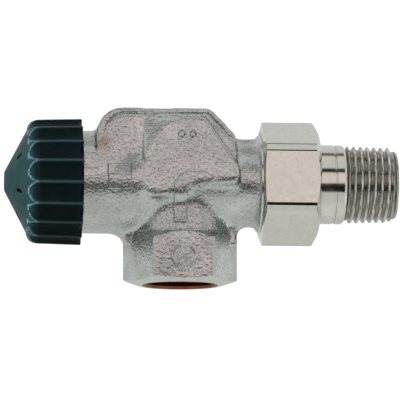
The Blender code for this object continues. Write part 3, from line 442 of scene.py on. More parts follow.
def cast_nickel(base):
    """Nickel plate over sand-cast brass: the mould's grain stays, so highlights break into specks."""
    material, shader, place = finish("cast_nickel_plate")
    grain = node(material, "ShaderNodeTexNoise", {"Vector": place, "Scale": per_mm(0.6), "Detail": 2.0,
                                                  "Roughness": 0.55}).outputs["Fac"]
    pits = node(material, "ShaderNodeTexVoronoi", {"Vector": place, "Scale": per_mm(0.9)},
                feature="SMOOTH_F1").outputs["Distance"]
    cloud = node(material, "ShaderNodeTexNoise", {"Vector": place, "Scale": per_mm(7.0),
                                                  "Detail": 2.0}).outputs["Fac"]
    even = ramp(material, cloud, [(0.32, tint(base, 0.86)), (0.5, base), (0.68, tint(base, 1.14))])
    speck = ramp(material, grain, [(0.33, (0.74, 0.75, 0.76)), (0.44, (0.95, 0.96, 0.96)),
                                   (0.6, (1.0, 1.0, 1.0))])
    plate_colour = mix_color(material, even, speck, 0.85)
    away = node(material, "ShaderNodeVectorMath", {0: place, 1: STAIN_PLACE}, operation="DISTANCE")
    stain = node(material, "ShaderNodeMapRange", {"Value": away.outputs["Value"], "From Min": 3.4 * MM,
                                                  "From Max": 0.5 * MM, "To Max": 0.6}).outputs["Result"]
    shown = mix_color(material, plate_colour, linear("#C09A78"), stain)
    connect(material, shown, shader.inputs["Base Color"])
    shader.inputs["Metallic"].default_value = 1.0
    rough = node(material, "ShaderNodeMapRange", {"Value": grain, "From Min": 0.3, "From Max": 0.7,
                                                  "To Min": 0.32, "To Max": 0.18}).outputs["Result"]
    connect(material, rough, shader.inputs["Roughness"])
    coarse = node(material, "ShaderNodeBump", {"Height": pits, "Strength": 0.25, "Distance": 0.25 * MM})
    fine = node(material, "ShaderNodeBump", {"Height": grain, "Strength": 1.0, "Distance": 0.12 * MM,
                                             "Normal": coarse.outputs["Normal"]})
    connect(material, fine.outputs["Normal"], shader.inputs["Normal"])
    return material


def mix_color(material, first, second, factor, blend="MULTIPLY"):
    """Blend two colours; the mix node keeps separate sockets for each kind of value."""
    made = node(material, "ShaderNodeMix", {}, data_type="RGBA", blend_type=blend)
    for index, value in ((0, factor), (6, first), (7, second)):
        if isinstance(value, bpy.types.NodeSocket):
            connect(material, value, made.inputs[index])
        else:
            made.inputs[index].default_value = value if index == 0 else (*value, 1.0)
    return made.outputs[2]


def turned_metal(name, base, roughness, line_mm, depth_mm, blotch=0.06):
    """Turned metal: fine tool lines run round the axis and stretch the highlights along it."""
    material, shader, place = finish(name)
    squeeze = node(material, "ShaderNodeMapping", {"Vector": place, "Scale": (1.0, 0.05, 0.05)})
    lines = node(material, "ShaderNodeTexNoise", {"Vector": squeeze.outputs["Vector"],
                                                  "Scale": per_mm(line_mm), "Detail": 2.0}).outputs["Fac"]
    cloud = node(material, "ShaderNodeTexNoise", {"Vector": place, "Scale": per_mm(3.0),
                                                  "Detail": 3.0}).outputs["Fac"]
    shown = ramp(material, cloud, [(0.35, tint(base, 1.0 - blotch)), (0.65, tint(base, 1.0 + blotch))])
    connect(material, shown, shader.inputs["Base Color"])
    shader.inputs["Metallic"].default_value = 1.0
    rough = node(material, "ShaderNodeMapRange", {"Value": cloud, "From Min": 0.3, "From Max": 0.7,
                                                  "To Min": roughness * 0.8, "To Max": roughness * 1.25})
    connect(material, rough.outputs["Result"], shader.inputs["Roughness"])
    bump = node(material, "ShaderNodeBump", {"Height": lines, "Strength": 0.5, "Distance": depth_mm * MM})
    connect(material, bump.outputs["Normal"], shader.inputs["Normal"])
    return material


def polished_nickel(base):
    """Nickel plate on ground hexagon bar: near mirror, with faint orange peel."""
    material, shader, place = finish("polished_nickel_plate")
    peel = node(material, "ShaderNodeTexNoise", {"Vector": place, "Scale": per_mm(0.9),
                                                 "Detail": 3.0}).outputs["Fac"]
    shown = ramp(material, peel, [(0.3, tint(base, 0.93)), (0.7, tint(base, 1.03))])
    connect(material, shown, shader.inputs["Base Color"])
    shader.inputs["Metallic"].default_value = 1.0
    shader.inputs["Roughness"].default_value = 0.09
    bump = node(material, "ShaderNodeBump", {"Height": peel, "Strength": 0.15, "Distance": 0.02 * MM})
    connect(material, bump.outputs["Normal"], shader.inputs["Normal"])
    return material


def moulded_plastic(name, base, roughness, rubbed=None):
    """Spark-eroded mould texture on plastic: satin, and paler where the crests carry a painted highlight."""
    material, shader, place = finish(name)
    erosion = node(material, "ShaderNodeTexNoise", {"Vector": place, "Scale": per_mm(0.35), "Detail": 3.0,
                                                    "Roughness": 0.6}).outputs["Fac"]
    cloud = node(material, "ShaderNodeTexNoise", {"Vector": place, "Scale": per_mm(4.0),
                                                  "Detail": 2.0}).outputs["Fac"]
    shown = ramp(material, cloud, [(0.35, tint(base, 0.85)), (0.65, tint(base, 1.15))])
    # The stored share lays the painted highlight colour over the plastic.
    if rubbed is not None:
        highlight_amount = node(material, "ShaderNodeAttribute", {}, attribute_name="rubbed").outputs["Fac"]
        shown = mix_color(material, shown, rubbed, highlight_amount, "MIX")
    connect(material, shown, shader.inputs["Base Color"])
    shader.inputs["IOR"].default_value = 1.49
    shader.inputs["Specular IOR Level"].default_value = 0.04
    rough = node(material, "ShaderNodeMapRange", {"Value": erosion, "From Min": 0.3, "From Max": 0.7,
                                                  "To Min": roughness + 0.08, "To Max": roughness - 0.05})
    connect(material, rough.outputs["Result"], shader.inputs["Roughness"])
    bump = node(material, "ShaderNodeBump", {"Height": erosion, "Strength": 0.3, "Distance": 0.06 * MM})
    connect(material, bump.outputs["Normal"], shader.inputs["Normal"])
    return material


def moulded_rubber(base):
    """Moulded EPDM: dull black with a dusty bloom."""
    material, shader, place = finish("moulded_epdm")
    bloom = node(material, "ShaderNodeTexNoise", {"Vector": place, "Scale": per_mm(0.8),
                                                  "Detail": 4.0}).outputs["Fac"]
    shown = ramp(material, bloom, [(0.35, base), (0.75, tint(base, 2.2))])
    connect(material, shown, shader.inputs["Base Color"])
    shader.inputs["Roughness"].default_value = 0.62
    shader.inputs["IOR"].default_value = 1.5
    bump = node(material, "ShaderNodeBump", {"Height": bloom, "Strength": 0.3, "Distance": 0.04 * MM})
    connect(material, bump.outputs["Normal"], shader.inputs["Normal"])
    return material


def dress(piece, *materials):
    piece.data.materials.clear()
    for material in materials:
        piece.data.materials.append(material)


def place_piece(piece, body, slot, *nodes):
    """Hand a finished piece to its body and hide the CAD nodes it stands for; the finish slot is not used."""
    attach(piece, body)
    if nodes:
        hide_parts(*nodes)


# Casting ------------------------------------------------------------------------------

# Outlines of (x, height over the valve axis, corner radius), in millimetres.
CHEEK_OUTLINE = ((-10.9, -5.6, 2.5), (-10.9, 16.3, 2.5), (5.6, 16.3, 3.0), (14.9, 2.8, 3.0),
                 (14.9, -1.8, 1.5), (3.2, -2.4, 1.5), (0.8, -5.6, 1.5))
HOOD_CORNERS = ((-23.2, -2.6, 0.0), (-23.2, HOOD_HEIGHT, 7.0), (6.9, HOOD_HEIGHT, 2.5),
                (14.2, OUTLET_NECK_R, 0.0), (14.2, -2.6, 0.0))
FOOT_CORNERS = ((0.0, 0.0, 0.0), (0.0, 15.0, 0.0), (10.5, 15.0, 0.0), (13.8, OUTLET_NECK_R, 6.0),
                (20.3, OUTLET_NECK_R, 0.0), (20.3, 0.0, 0.0))
WEB_CORNERS = ((-18.2, -10.8, 0.0), (-18.2, -13.8, 0.0), (-15.2, -13.8, 3.0), (-15.2, -17.1, 0.0),
               (15.1, -17.1, 0.0), (15.1, -11.6, 3.0), (18.1, -11.6, 0.0), (18.1, -8.6, 0.0))
BOSS_FLAT_R = 13.5
BOSS_CORNER_R = 15.3
BOSS_NECK_R = 12.9
BOSS_TOP_Z = 15.0
BOSS_ARCH_Z = 13.2
BOSS_ARCH_SLOPE = 0.8
BOSS_ARCH_RUN = 2.6
RING_R = 3.1
RING_BEAD_R = 0.45
RING_Z = 6.4

# Raised and sunk marks on the cheeks and the neck, in the same plane.
ARROW_STEM = ((-1.0, -11.6), (-1.0, -2.9), (-0.4, -1.4), (1.0, -0.6), (4.0, -0.4))
ARROW_HALF_WIDTH = 1.75
ARROW_FOOT_H = -12.0
ARROW_HEAD_X = 4.0
ARROW_TIP_X, ARROW_TIP_H = 8.6, -0.4
ARROW_HEAD_HALF_WIDTH = 2.4
PAD_LOW, PAD_HIGH = (-20.1, -3.4), (-14.2, 3.5)
DOT_PLACES = ((-0.6, 11.4), (2.2, 11.4))
DOT_R = 0.85
CREASE_LINE = ((-21.0, 9.0), (-20.9, 12.0), (-20.0, 14.6), (-18.2, 16.2), (-15.8, 16.9), (6.3, 16.9),
               (8.0, 15.4), (13.0, 10.2))
CREASE_HALF_WIDTH = 0.36
MARK_LEAST_Y = 7.0
MARK_LEAST_FACING = 0.35
CHEEK_FADE = 9.0

# Lines along which the casting is softened, with their reach and the number of passes: the corners between
# barrel, boss and necks, the hood's corner by the cap, two edges of the cheek, and the neck over the boss.
SOFT_LINES = (
    (((-16.2, -14.4), (-16.1, -14.4)), 3.2, 40),
    (((16.2, -12.6), (16.3, -12.6)), 3.4, 40),
    (((14.5, 11.6), (14.6, 11.6)), 4.2, 30),
    (((-23.4, 13.4), (-23.3, 13.4)), 2.4, 16),
    (((-10.9, 16.3), (-3.0, 16.3)), 2.4, 30),
    (((-10.9, 3.0), (-10.9, -5.6), (0.8, -5.6), (3.2, -2.4), (14.9, -1.8)), 1.8, 24),
    (((-12.0, -13.0), (-9.0, -10.2), (-6.0, -7.8), (-3.0, -5.8), (0.0, -4.9), (3.0, -5.8), (6.0, -7.8),
      (9.0, -10.2), (12.0, -13.0)), 2.6, 36))


def cast_blank(sizes):
    """The cast part of the body: its volumes grown together with soft fillets."""
    barrel = turned("barrel", [
        (-27.4, 0.0), (-27.4, NECK_R), (-15.0, NECK_R), (4.0, NECK_R), (16.6, OUTLET_NECK_R),
        (18.4, OUTLET_NECK_R), (19.6, 11.8), (20.6, 12.4), (21.6, 12.6), (21.6, 0.0)], 96)
    hood = plate("hood", rounded(HOOD_CORNERS), sizes.hood_half_width)
    side = sizes.hood_half_width * 0.99
    bevel_edges(hood, lambda e: all(abs(v.co.y) > side for v in e.verts), sizes.hood_edge, 4)
    cheek = plate("cheek", rounded(CHEEK_OUTLINE), sizes.cheek_half_width)
    front = sizes.cheek_half_width * 0.99
    bevel_edges(cheek, lambda e: all(abs(v.co.y) > front for v in e.verts) and e.calc_face_angle(0.0) > 0.9,
                sizes.cheek_edge, 3)
    foot = plate("foot", rounded(FOOT_CORNERS), 5.0 * MM)
    bevel_edges(foot, lambda e: all(abs(v.co.y) > 4.9 * MM for v in e.verts), 2.0 * MM, 3)
    web = plate("web", rounded(WEB_CORNERS), 4.0 * MM)
    neck = turned("neck", [(8.0, 0.0), (8.0, BOSS_NECK_R), (AXIS_Z, BOSS_NECK_R), (AXIS_Z, 0.0)], 72, "Z")
    core = boss_hexagon(BOSS_FLAT_R - 0.12)
    blank = joined("valve_casting", barrel, hood, cheek, foot, web, neck, core)
    modify(blank, "REMESH", mode="VOXEL", voxel_size=sizes.grain)
    modify(blank, "SMOOTH", factor=0.5, iterations=6)
    fade_cheek(blank, sizes)
    for line, reach, turns in SOFT_LINES:
        melt(blank, line, reach, turns)
    return blank


def melt(blank, line, reach, turns):
    """Smooth the vertices near a line of (x, height) points."""
    values = coordinates(blank)
    chosen = near_line(values[:, 0] / MM, values[:, 2] / MM - AXIS_Z, line) < reach
    edit(blank)
    pick(blank, lambda v: chosen[v.index])
    bpy.ops.mesh.vertices_smooth(factor=0.5, repeat=turns)
    leave_edit()


def fade_cheek(blank, sizes):
    """Let the upper corner of the cheeks towards the cap run out into the hood."""
    values = coordinates(blank)
    x, h, y = values[:, 0] / MM, values[:, 2] / MM - AXIS_Z, values[:, 1]
    corner_x, corner_h, _ = CHEEK_OUTLINE[1]
    inward = ((x - corner_x) + 0.7 * (corner_h - h)) / CHEEK_FADE
    keep = np.clip(inward, 0.0, 1.0)
    keep = keep * keep * (3.0 - 2.0 * keep)
    proud = np.clip(np.abs(y) - sizes.hood_half_width, 0.0, None) * (h > 0.0)
    values[:, 1] = y - np.sign(y) * proud * (1.0 - keep)
    move_points(blank, values)


def near_line(x, h, points):
    """Distance of points (x, h) to a line through the given corners, in millimetres."""
    best = np.full(len(x), 1e9)
    for (x0, h0), (x1, h1) in zip(points, points[1:]):
        dx, dh = x1 - x0, h1 - h0
        t = np.clip(((x - x0) * dx + (h - h0) * dh) / (dx * dx + dh * dh), 0.0, 1.0)
        best = np.minimum(best, np.hypot(x - x0 - t * dx, h - h0 - t * dh))
    return best


def flow_arrow(x, h):
    """True on the raised arrow: a stem that bends towards the outlet and ends in a point."""
    stem = near_line(x, h, ARROW_STEM) < ARROW_HALF_WIDTH
    reach = (ARROW_TIP_X - x) / (ARROW_TIP_X - ARROW_HEAD_X)
    head = (x > ARROW_HEAD_X) & (x < ARROW_TIP_X)
    head &= np.abs(h - ARROW_TIP_H) < ARROW_HEAD_HALF_WIDTH * reach
    return stem & (x < ARROW_HEAD_X + 0.4) & (h > ARROW_FOOT_H) | head


def neck_pad(x, h):
    return (x > PAD_LOW[0]) & (x < PAD_HIGH[0]) & (h > PAD_LOW[1]) & (h < PAD_HIGH[1])


def cheek_dots(x, h):
    (x0, h0), (x1, h1) = DOT_PLACES
    return (np.hypot(x - x0, h - h0) < DOT_R) | (np.hypot(x - x1, h - h1) < DOT_R)


def push(piece, chosen, amount):
    """Push the chosen vertices along their normals, outwards when the amount is positive."""
    edit(piece)
    pick(piece, lambda v: chosen[v.index])
    bpy.ops.transform.shrink_fatten(value=amount)
    leave_edit()


def emboss(blank, sizes):
    """Raise the flow arrow and the plain pad on both sides, and sink the dots and the parting crease.

    Only skin that faces sideways, and stands well off the middle plane, takes a mark.
    """
    values = coordinates(blank)
    facing = np.abs(vertex_normals(blank)[:, 1]) > MARK_LEAST_FACING
    x, h = values[:, 0] / MM, values[:, 2] / MM - AXIS_Z
    outside = np.abs(values[:, 1]) > MARK_LEAST_Y * MM
    push(blank, facing & outside & flow_arrow(x, h), sizes.mark_height)
    push(blank, facing & outside & neck_pad(x, h), sizes.mark_height)
    push(blank, facing & outside & cheek_dots(x, h), -sizes.mark_height)
    push(blank, outside & (near_line(x, h, CREASE_LINE) < CREASE_HALF_WIDTH),
         -sizes.crease_depth)


def hexagon_bar(name, flats_mm, low, high, along):
    """A hexagon bar with corners on X for the inlet axis, or on Z for the valve axis."""
    bpy.ops.mesh.primitive_cylinder_add(vertices=6, radius=flats_mm / math.sqrt(3.0) * MM,
                                        depth=(high - low) * MM)
    bar = bpy.context.object
    bar.name = name
    edit_all(bar)
    if along == "Z":
        bpy.ops.transform.rotate(value=math.radians(30.0), orient_axis="Z", center_override=(0, 0, 0))
        bpy.ops.transform.translate(value=(0.0, 0.0, (low + high) / 2.0 * MM))
    else:
        bpy.ops.transform.rotate(value=math.radians(90.0), orient_axis="Y", center_override=(0, 0, 0))
        bpy.ops.transform.rotate(value=math.radians(30.0), orient_axis="X", center_override=(0, 0, 0))
        bpy.ops.transform.translate(value=((low + high) / 2.0 * MM, 0.0, AXIS_Z * MM))
    leave_edit()
    return bar


def boss_hexagon(flat_r):
    """Spanner hexagon of the inlet: its flats end in arches under the upper chamfer."""
    boss = hexagon_bar("boss", 2.0 * flat_r, -2.0, BOSS_TOP_Z + 4.0, "Z")
    bevel_edges(boss, lambda e: abs(e.verts[0].co.z - e.verts[1].co.z) > 5.0 * MM, 0.45 * MM, 3)
    shoulder = BOSS_ARCH_Z - (BOSS_CORNER_R - flat_r) * BOSS_ARCH_SLOPE
    arch_end = BOSS_ARCH_Z + BOSS_ARCH_RUN
    blank = turned("blank", [
        (0.0, 0.0), (0.0, 11.4), (1.3, BOSS_CORNER_R), (shoulder, BOSS_CORNER_R),
        (arch_end, flat_r - BOSS_ARCH_RUN / BOSS_ARCH_SLOPE), (arch_end, 0.0)], 96, "Z")
    combine(boss, blank, "INTERSECT")
    return boss


def boss_ring(side):
    """A plain raised ring on a flat of the inlet's hexagon."""
    bpy.ops.mesh.primitive_torus_add(major_segments=48, minor_segments=8, major_radius=RING_R * MM,
                                     minor_radius=RING_BEAD_R * MM)
    ring = bpy.context.object
    edit_all(ring)
    bpy.ops.transform.rotate(value=math.radians(90.0), orient_axis="X", center_override=(0, 0, 0))
    bpy.ops.transform.translate(value=(0.0, side * (BOSS_FLAT_R - 0.1) * MM, RING_Z * MM))
    leave_edit()
    return ring


def head_thread():
    """The threaded head with the collar that the cap stops against."""
    thread_end = -27.9
    profile = [(HEAD_END_X, 0.0), (HEAD_END_X, HEAD_THREAD_R - HEAD_THREAD_DEPTH)]
    profile += [(x, HEAD_THREAD_R) for x in rows(HEAD_END_X + 0.01, thread_end - 0.3, 46)]
    profile += [(thread_end, HEAD_THREAD_R), (CAP_RIM_X - 0.2, HEAD_THREAD_R),
                (CAP_RIM_X, HEAD_THREAD_R - 0.2), (CAP_RIM_X, 12.6), (-23.0, 12.6), (-23.0, 0.0)]
    piece = turned("head", profile, 96)
    cut_thread(piece, HEAD_END_X, thread_end - 0.3, HEAD_PITCH, HEAD_THREAD_R, HEAD_THREAD_DEPTH)
    return piece


def union_thread():
    start = 22.4
    profile = [(18.0, 0.0), (18.0, 10.6), (20.4, 10.6), (20.4, 12.6), (20.9, UNION_THREAD_R),
               (start - 0.5, UNION_THREAD_R)]
    profile += [(x, UNION_THREAD_R) for x in rows(start, OUTLET_END_X - 0.01, 40)]
    profile += [(OUTLET_END_X, UNION_THREAD_R - UNION_THREAD_DEPTH), (OUTLET_END_X, 0.0)]
    piece = turned("union_thread", profile, 96)
    cut_thread(piece, start, OUTLET_END_X - 0.01, UNION_PITCH, UNION_THREAD_R, UNION_THREAD_DEPTH)
    return piece


def water_ways():
    """Everything that is cut out of the casting, as one helper."""
    head = turned("ways", [
        (HEAD_END_X - 2.0, 0.0), (HEAD_END_X - 2.0, 12.9), (HEAD_END_X, 12.9), (HEAD_END_X + 0.7, 12.2),
        (-27.5, 12.2), (-27.5, 11.5), (-26.0, 11.5), (-26.0, 9.6), (-20.7, 9.6), (-20.4, 10.4),
        (-7.2, 10.4), (-7.2, 8.2), (-8.2, 7.9), (-8.2, 6.5), (-5.6, 6.5), (-5.6, 8.3), (6.5, 8.3),
        (8.0, 5.8), (8.0, 0.0)], 64)
    over = plate("over", rounded([
        (-18.4, 7.4, 0.0), (-18.4, 17.5, 3.0), (6.4, 17.5, 1.5), (12.9, 6.5, 0.0), (10.2, 6.5, 0.0),
        (10.2, 10.6, 1.0), (-7.2, 10.6, 1.0), (-7.2, 7.4, 0.0)], 3), 7.0 * MM)
    combine(head, over, "UNION")
    outlet = turned("outlet", [
        (10.2, 0.0), (10.2, 6.8), (11.4, 8.0), (28.5, 8.0), (33.0, 12.5), (33.0, 0.0)], 64)
    combine(head, outlet, "UNION")
    way = turned("way", [(12.5, 0.0), (12.5, 6.6), (AXIS_Z, 6.6), (AXIS_Z, 0.0)], 48, "Z", 1.2)
    combine(head, way, "UNION")
    inlet = turned("inlet", inlet_profile(), 80, "Z")
    cut_inlet_thread(inlet)
    combine(head, inlet, "UNION")
    return head


INLET_THREAD_R = 9.5
INLET_DEPTH = 13.5
INLET_THREAD_LOW, INLET_THREAD_HIGH = 1.2, INLET_DEPTH - 1.0


def inlet_profile():
    profile = [(-2.0, 0.0), (-2.0, 12.2), (0.7, INLET_THREAD_R)]
    profile += [(z, INLET_THREAD_R) for z in rows(INLET_THREAD_LOW, INLET_THREAD_HIGH, 50)]
    return profile + [(INLET_DEPTH, INLET_THREAD_R), (BOSS_TOP_Z, 5.6), (BOSS_TOP_Z, 0.0)]


def cut_inlet_thread(piece):
    """Give the inlet's bore its helical pipe thread."""
    values = coordinates(piece)
    radius = np.hypot(values[:, 0], values[:, 1])
    angle = np.arctan2(values[:, 1], values[:, 0])
    z = values[:, 2] / MM
    zone = (z > INLET_THREAD_LOW - 0.01) & (z < INLET_THREAD_HIGH + 0.01)
    zone &= radius > (INLET_THREAD_R - 1.5) * MM
    height = thread_height(z / UNION_PITCH - angle / (2.0 * math.pi))
    ends = np.clip(np.minimum(z - INLET_THREAD_LOW, INLET_THREAD_HIGH - z) / UNION_PITCH, 0.0, 1.0)
    local = INLET_THREAD_R + UNION_THREAD_DEPTH * height * ends
    scale = np.where(zone, local * MM / np.maximum(radius, 1e-9), 1.0)
    values[:, 0] *= scale
    values[:, 1] *= scale
    move_points(piece, values)


class VALVE_OT_casting(bpy.types.Operator):
    """Cast body: hood, cheeks, inlet boss, threads and water ways."""
    bl_idname = "valve.casting"
    bl_label = "Casting"

    def execute(self, context):
        sizes = context.scene.valve_casting
        finishes = context.scene.valve_finishes
        casting = cast_blank(sizes)
        emboss(casting, sizes)
        boss = boss_hexagon(BOSS_FLAT_R)
        for side in (-1.0, 1.0):
            combine(boss, boss_ring(side), "UNION")
        combine(casting, joined("added", boss, head_thread(), union_thread()), "UNION")
        combine(casting, water_ways(), "DIFFERENCE")
        shade(casting, 40.0)
        # Bare brass of the bore, darkened with painted shade inside.
        bore = turned_metal("tapped_brass_bore", tuple(finishes.bore_brass_and_shade), 0.28, 0.3, 0.05, 0.2)
        ends = turned_metal("turned_nickel_end", tuple(finishes.polished), 0.22, 0.3, 0.03)
        dress(casting, cast_nickel(tuple(finishes.nickel)), bore, ends)
        for face in casting.data.polygons:
            face.material_index = casting_finish(face)
        place_piece(casting, "casting", "cast_nickel", "valve_body")
        return {"FINISHED"}


def casting_finish(face):
    """0 for the cast skin, 1 for the bare tapped inlet, whose brass is darkened as painted shade, 2 for the
    turned ends.
    """
    x, y, z = (value / MM for value in face.center)
    from_inlet = math.hypot(x, y)
    from_axis = math.hypot(y, z - AXIS_Z)
    if z < 0.05 or z < 1.35 and from_inlet > 10.3:
        return 2
    if z < BOSS_TOP_Z + 0.5 and from_inlet < 10.9:
        return 1
    if x < CAP_RIM_X or x > OUTLET_COLLAR_X + 0.4:
        return 2
    if from_axis < 10.45 and x < 20.0:
        return 1
    return 0


# Protective cap -----------------------------------------------------------------------

CAP_NOSE_X = CAP_LOW.x
CAP_RIM_R = (CAP_HIGH.y - CAP_LOW.y) / 2.0
CAP_CONE_X = CAP_NOSE_X + 6.2
CAP_CONE_R = 14.3
CAP_NOSE_R = 2.8
CAP_SHOULDER_R = CAP_RIM_R - 0.3
CAP_BORE_R = 15.15
SHOULDER_R = 3.0
FLUTE_PHASE = math.radians(3.0) + math.pi / 2.0
FLUTE_SHARE = 0.94
FLUTE_TIP_RUN = 2.5
# Where the painted highlight is strongest across the flute rims, and how far it spreads.
HIGHLIGHT_MIDDLE, HIGHLIGHT_SPREAD = 1.02, 0.11
SLOT_PHASE = math.radians(52.0)
SLOT_MIDDLE_R = CAP_CONE_R * 0.66


def cap_blank(steps):
    """The cap without its flutes: cone, rounded shoulder, drafted skirt and hollow inside."""
    centre = (CAP_CONE_X + 2.75, CAP_SHOULDER_R - SHOULDER_R)
    tip = math.degrees(math.atan2(CAP_CONE_R - centre[1], CAP_CONE_X - centre[0]))
    profile = [(CAP_NOSE_X, 0.0), (CAP_NOSE_X, CAP_NOSE_R - 0.3), (CAP_NOSE_X + 0.12, CAP_NOSE_R)]
    cone = rows(0.0, 0.8, 6)[1:] + rows(0.8, 1.0, 5)[1:]
    profile += [(CAP_NOSE_X + 0.12 + (CAP_CONE_X - CAP_NOSE_X - 0.12) * t,
                 CAP_NOSE_R + (CAP_CONE_R - CAP_NOSE_R) * t) for t in cone]
    profile += arc(centre, SHOULDER_R, tip, 90.0, 12)[1:]
    skirt = rows(centre[0], CAP_RIM_X - 0.25, 10)[1:]
    profile += [(x, CAP_SHOULDER_R + 0.3 * (x - centre[0]) / (CAP_RIM_X - centre[0])) for x in skirt]
    profile += [(CAP_RIM_X, CAP_RIM_R - 0.25), (CAP_RIM_X, CAP_BORE_R + 0.35), (CAP_RIM_X - 0.35, CAP_BORE_R),
                (-38.0, CAP_BORE_R), (-38.6, 14.4), (-45.08, 2.2), (-45.08, 0.0)]
    return turned("cap", profile, steps)


def flute_rim(cap, sizes):
    """How near each vertex is to the rim of its flute: 0 in the flute's middle, 1 on the rim.

    Also returns the vertices' places and normals, and which of them lie on the outside.
    """
    values, normals = coordinates(cap), vertex_normals(cap)
    angle, radius = about_axis(values)
    x = values[:, 0] / MM
    cell = 2.0 * math.pi / sizes.flutes
    across = np.abs(((angle - FLUTE_PHASE) / cell) % 1.0 - 0.5) * 2.0
    across = np.clip((1.0 - across) / FLUTE_SHARE, 0.0, 1.0)
    along = np.clip(1.0 - (x - (CAP_CONE_X - 0.3)) / FLUTE_TIP_RUN, 0.0, None)
    outside = (radius > (CAP_CONE_R - 1.5) * MM) & (np.hypot(normals[:, 1], normals[:, 2]) > 0.35)
    outside &= (radius > (CAP_BORE_R + 0.6) * MM) | (x < CAP_CONE_X + 2.6)
    outside &= (values[:, 1] * normals[:, 1] + (values[:, 2] - AXIS_Z * MM) * normals[:, 2]) > 0.0
    return across ** 2 + along ** 2, outside, values, normals


def scoop_flutes(cap, sizes):
    """Sink finger flutes that run over the shoulder and end in a rounded tip at the cone."""
    rim, outside, values, normals = flute_rim(cap, sizes)
    depth = sizes.flute_depth * np.clip(1.0 - rim, 0.0, 1.0) * outside
    move_points(cap, values - normals * depth[:, None])


def paint_crest_highlights(cap, sizes):
    """Store how much painted highlight each vertex takes: most along the rims of the flutes."""
    rim, outside, _, _ = flute_rim(cap, sizes)
    highlight_weight = np.exp(-((rim - HIGHLIGHT_MIDDLE) / HIGHLIGHT_SPREAD) ** 2) * outside
    stored = cap.data.attributes.new("rubbed", "FLOAT", "POINT")
    stored.data.foreach_set("value", highlight_weight.astype(np.float32))


def cap_slots(sizes):
    """The cutters of the short slots half way up the cone, one modelled and the rest copied."""
    x = CAP_NOSE_X + (CAP_CONE_X - CAP_NOSE_X) * (SLOT_MIDDLE_R - CAP_NOSE_R) / (CAP_CONE_R - CAP_NOSE_R)
    bpy.ops.mesh.primitive_cube_add(size=1.0)
    first = bpy.context.object
    edit_all(first)
    bpy.ops.transform.resize(value=(8.0 * MM, sizes.slot_width, sizes.slot_length))
    leave_edit()
    bevel_edges(first, lambda e: abs(e.verts[0].co.x - e.verts[1].co.x) > 4.0 * MM, 0.3 * MM, 3)
    slots = []
    for index in range(sizes.slots):
        slot = first.copy()
        slot.data = first.data.copy()
        bpy.context.scene.collection.objects.link(slot)
        turn = Matrix.Rotation(SLOT_PHASE + 2.0 * math.pi * index / sizes.slots, 4, "X")
        raised = Matrix.Translation((x * MM, 0.0, SLOT_MIDDLE_R * MM))
        slot.data.transform(Matrix.Translation((0.0, 0.0, AXIS_Z * MM)) @ turn @ raised)
        slots.append(slot)
    bpy.data.objects.remove(first)
    return joined("cap_slots", *slots)


class VALVE_OT_cap(bpy.types.Operator):
    """Fluted protective cap."""
    bl_idname = "valve.cap"
    bl_label = "Protective cap"

    def execute(self, context):
        sizes = context.scene.valve_cap
        finishes = context.scene.valve_finishes
        cap = cap_blank(sizes.flutes * 16)
        cap.name = "fluted_cap"
        scoop_flutes(cap, sizes)
        combine(cap, cap_slots(sizes), "DIFFERENCE")
        paint_crest_highlights(cap, sizes)
        shade(cap, 38.0)
        # The crest colour paints a highlight along the rims of the flutes.
        dress(cap, moulded_plastic("moulded_polypropylene", tuple(finishes.plastic), 0.4,
                                   tuple(finishes.crest)))
        place_piece(cap, "cap", "green_plastic", "protective_cap")
        return {"FINISHED"}


# Union --------------------------------------------------------------------------------

NUT_FLATS = 30.0
NUT_CORNER_R = 17.1
TAIL_THREAD_X = 44.1
TAIL_THREAD_R = 10.48
TAIL_NOTCHES = 96


class VALVE_OT_union_nut(bpy.types.Operator):
    """Hexagonal union nut."""
    bl_idname = "valve.union_nut"
    bl_label = "Union nut"

    def execute(self, context):
        sizes = context.scene.valve_union
        low, high = NUT_LOW.x, NUT_HIGH.x
        nut = hexagon_bar("hexagon_union_nut", NUT_FLATS, low, high, "X")
        bevel_edges(nut, lambda e: abs(e.verts[0].co.x - e.verts[1].co.x) > 5.0 * MM, sizes.nut_corner, 8)
        blank = turned("blank", [
            (low, 0.0), (low, 13.9), (low + 0.75, NUT_CORNER_R), (high - 1.8, NUT_CORNER_R),
            (high - 0.1, 14.2), (high, 13.9), (high, 0.0)], 120)
        combine(nut, blank, "INTERSECT")
        bore = turned("bore", [
            (low - 1.0, 0.0), (low - 1.0, 14.2), (low, 14.2), (low + 0.8, 13.4), (high - 3.0, 13.4),
            (high - 3.0, 10.95), (high - 0.4, 10.95), (high, 11.3), (high + 1.0, 11.3),
            (high + 1.0, 0.0)], 96)
        combine(nut, bore, "DIFFERENCE")
        bevel_edges(nut, lambda e: e.calc_face_angle(0.0) > 0.5 and e.calc_length() > 0.2 * MM, 0.12 * MM, 2)
        shade(nut, 30.0)
        dress(nut, polished_nickel(tuple(context.scene.valve_finishes.polished)))
        place_piece(nut, "nut", "polished_nickel", "union_nut")
        return {"FINISHED"}


